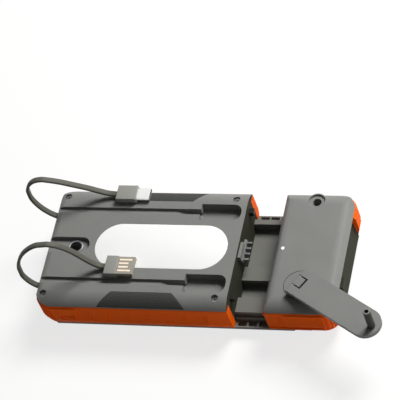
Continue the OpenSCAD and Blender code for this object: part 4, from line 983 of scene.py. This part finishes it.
class POWERBANK_OT_crank(bpy.types.Operator):
    """Folding crank with its hub, hinge and turning knob"""

    bl_idname = "power_bank.crank"
    bl_label = "Crank"

    def execute(self, context):
        done = finishes()
        dressed("crank_arm", [done["housing"]], "arm", sizes().edge)
        dressed("crank_hub", [done["housing"]], "hub", HUB_EDGE * MM)
        dressed("hinge_pin", [done["steel"]], "hub")
        dressed("knob_pin", [done["black"]], "arm")
        low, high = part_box("knob_sleeve")
        centre = ((low.x + high.x) / 2, (low.y + high.y) / 2)
        profile = self.profile((high.x - low.x) / 2, low.z, high.z)
        mesh = new_mesh("knob_sleeve_finish", *turned(profile, centre))
        # Painted shade: the side takes the darker knob grey; faces in the top ring keep the housing
        # grey.
        for face in mesh.polygons:
            face.material_index = int(face.center.z > high.z - KNOB_RING * MM)
        materials = [done["knob"], done["housing"]]
        piece("knob_sleeve_finish", mesh, materials, "knob", "knob_sleeve")
        return {"FINISHED"}

    def profile(self, r, low, high):
        """Half section of the knob: straight side, rounded rims and a stepped bore for its pin."""
        bore, head, step, rim = (v * MM for v in (KNOB_BORE, KNOB_HEAD, KNOB_STEP, KNOB_RIM))
        a = quarter_turn(RIM_STEPS)
        top = np.stack([r - rim + rim * np.cos(a), high - rim + rim * np.sin(a)], axis=1)
        foot = np.stack([r - rim + rim * np.sin(a), low + rim - rim * np.cos(a)], axis=1)
        inner = np.array([(head, high), (head, high - step), (bore, high - step), (bore, low)])
        return np.concatenate([foot, top, inner])


# Round edges of the small parts
SMALL_EDGE = 0.15
# Eyelet: radius of its bore, its wall, the height of its rolled rim, and points over and round it
EYELET_BORE = 3.5
EYELET_WALL = 0.6
EYELET_ROLL = 0.3
ROLL_STEPS = 9
EYELET_STEPS = 64
# Finishes of the works inside, which keep the shape of their solids
INNER_FINISHES = {
    "white": ["lamp_board"],
    "diode": ["lamp_leds"],
    "green": ["main_board", "module_board"],
    "black": ["cell_carrier", "generator_end", "button_switch"],
    "foil": ["battery_cells"],
    "steel": ["generator_can", "idler_axle", "shaft_clip", "rotor_shaft"],
    "copper": ["stator_coil"],
    "brass": ["crank_bush", "rotor_pinion"],
    "acetal": ["drive_gear", "idler_gear"],
    "ferrite": ["rotor_magnet"],
}


class POWERBANK_OT_small_parts(bpy.types.Operator):
    """Dock, pegs, eyelet, screws, glands, button and the works inside"""

    bl_idname = "power_bank.small_parts"
    bl_label = "Small parts"

    def execute(self, context):
        done = finishes()
        edge = SMALL_EDGE * MM
        dressed("dock_connector", [done["housing"]], "main", edge)
        dressed("dock_contacts", [done["dull_steel"]], "main")
        dressed("guide_pegs", [done["black"]], "main", edge)
        dressed("cable_glands", [done["black"]], "main", edge)
        dressed("cover_screws", [done["dull_steel"]], "main")
        # The button takes the darker grey of the painted end-wall shade.
        dressed("power_button", [done["wall"]], "button", edge)
        dressed("module_screws", [done["steel"]], "module")
        dressed("dock_socket", [done["black"]], "module")
        self.eyelet(done["dull_steel"])
        for finish, names in INNER_FINISHES.items():
            for name in names:
                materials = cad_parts[name].data.materials
                materials.clear()
                materials.append(done[finish])
        return {"FINISHED"}

    def eyelet(self, finish):
        """Rolled eyelet: a thin tube whose upper rim curls outwards in a half round."""
        low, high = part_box("lanyard_eyelet")
        centre = ((low.x + high.x) / 2, (low.y + high.y) / 2)
        bore, wall, rise = (v * MM for v in (EYELET_BORE, EYELET_WALL, EYELET_ROLL))
        a = np.linspace(0, math.pi, ROLL_STEPS)
        curl = ((high.x - low.x) / 2 - bore) / 2
        rim = high.z - rise
        roll = np.stack([bore + curl - curl * np.cos(a), rim + rise * np.sin(a)], axis=1)
        tube = np.array([(bore + wall, rim), (bore + wall, low.z), (bore, low.z)])
        profile = np.concatenate([roll, tube])
        mesh = new_mesh("lanyard_eyelet_finish", *turned(profile, centre, EYELET_STEPS))
        piece("lanyard_eyelet_finish", mesh, [finish], "main", "lanyard_eyelet")


OPERATORS = (
    POWERBANK_OT_stage,
    POWERBANK_OT_cables,
    POWERBANK_OT_shells,
    POWERBANK_OT_bumpers,
    POWERBANK_OT_grip_pads,
    POWERBANK_OT_panel_and_lamp,
    POWERBANK_OT_crank,
    POWERBANK_OT_small_parts,
)
GROUPS = {
    "power_bank_colours": PowerBankColours,
    "power_bank_sizes": PowerBankSizes,
    "power_bank_stage": PowerBankStage,
}


class POWERBANK_PT_sidebar(bpy.types.Panel):
    """Lists the operators and the settings."""

    bl_idname = "POWERBANK_PT_sidebar"
    bl_label = "Power bank"
    bl_space_type = "VIEW_3D"
    bl_region_type = "UI"
    bl_category = "Power bank"

    def draw(self, context):
        for operator in OPERATORS:
            self.layout.operator(operator.bl_idname)
        for group in GROUPS:
            settings = getattr(context.scene, group)
            for key in settings.__annotations__:
                self.layout.prop(settings, key)


def register():
    """Registers the classes and gives the scene its settings."""
    for cls in (*GROUPS.values(), *OPERATORS, POWERBANK_PT_sidebar):
        bpy.utils.register_class(cls)
    for name, cls in GROUPS.items():
        setattr(bpy.types.Scene, name, bpy.props.PointerProperty(type=cls))


def unregister():
    """Takes the settings and the classes away again."""
    for name in GROUPS:
        delattr(bpy.types.Scene, name)
    for cls in (POWERBANK_PT_sidebar, *OPERATORS, *GROUPS.values()):
        bpy.utils.unregister_class(cls)


def main():
    """Makes the stage and the pieces."""
    register()
    bpy.ops.power_bank.stage()
    bpy.ops.power_bank.cables()
    bpy.ops.power_bank.shells()
    bpy.ops.power_bank.bumpers()
    bpy.ops.power_bank.grip_pads()
    bpy.ops.power_bank.panel_and_lamp()
    bpy.ops.power_bank.crank()
    bpy.ops.power_bank.small_parts()


if __name__ == "__main__":
    main()
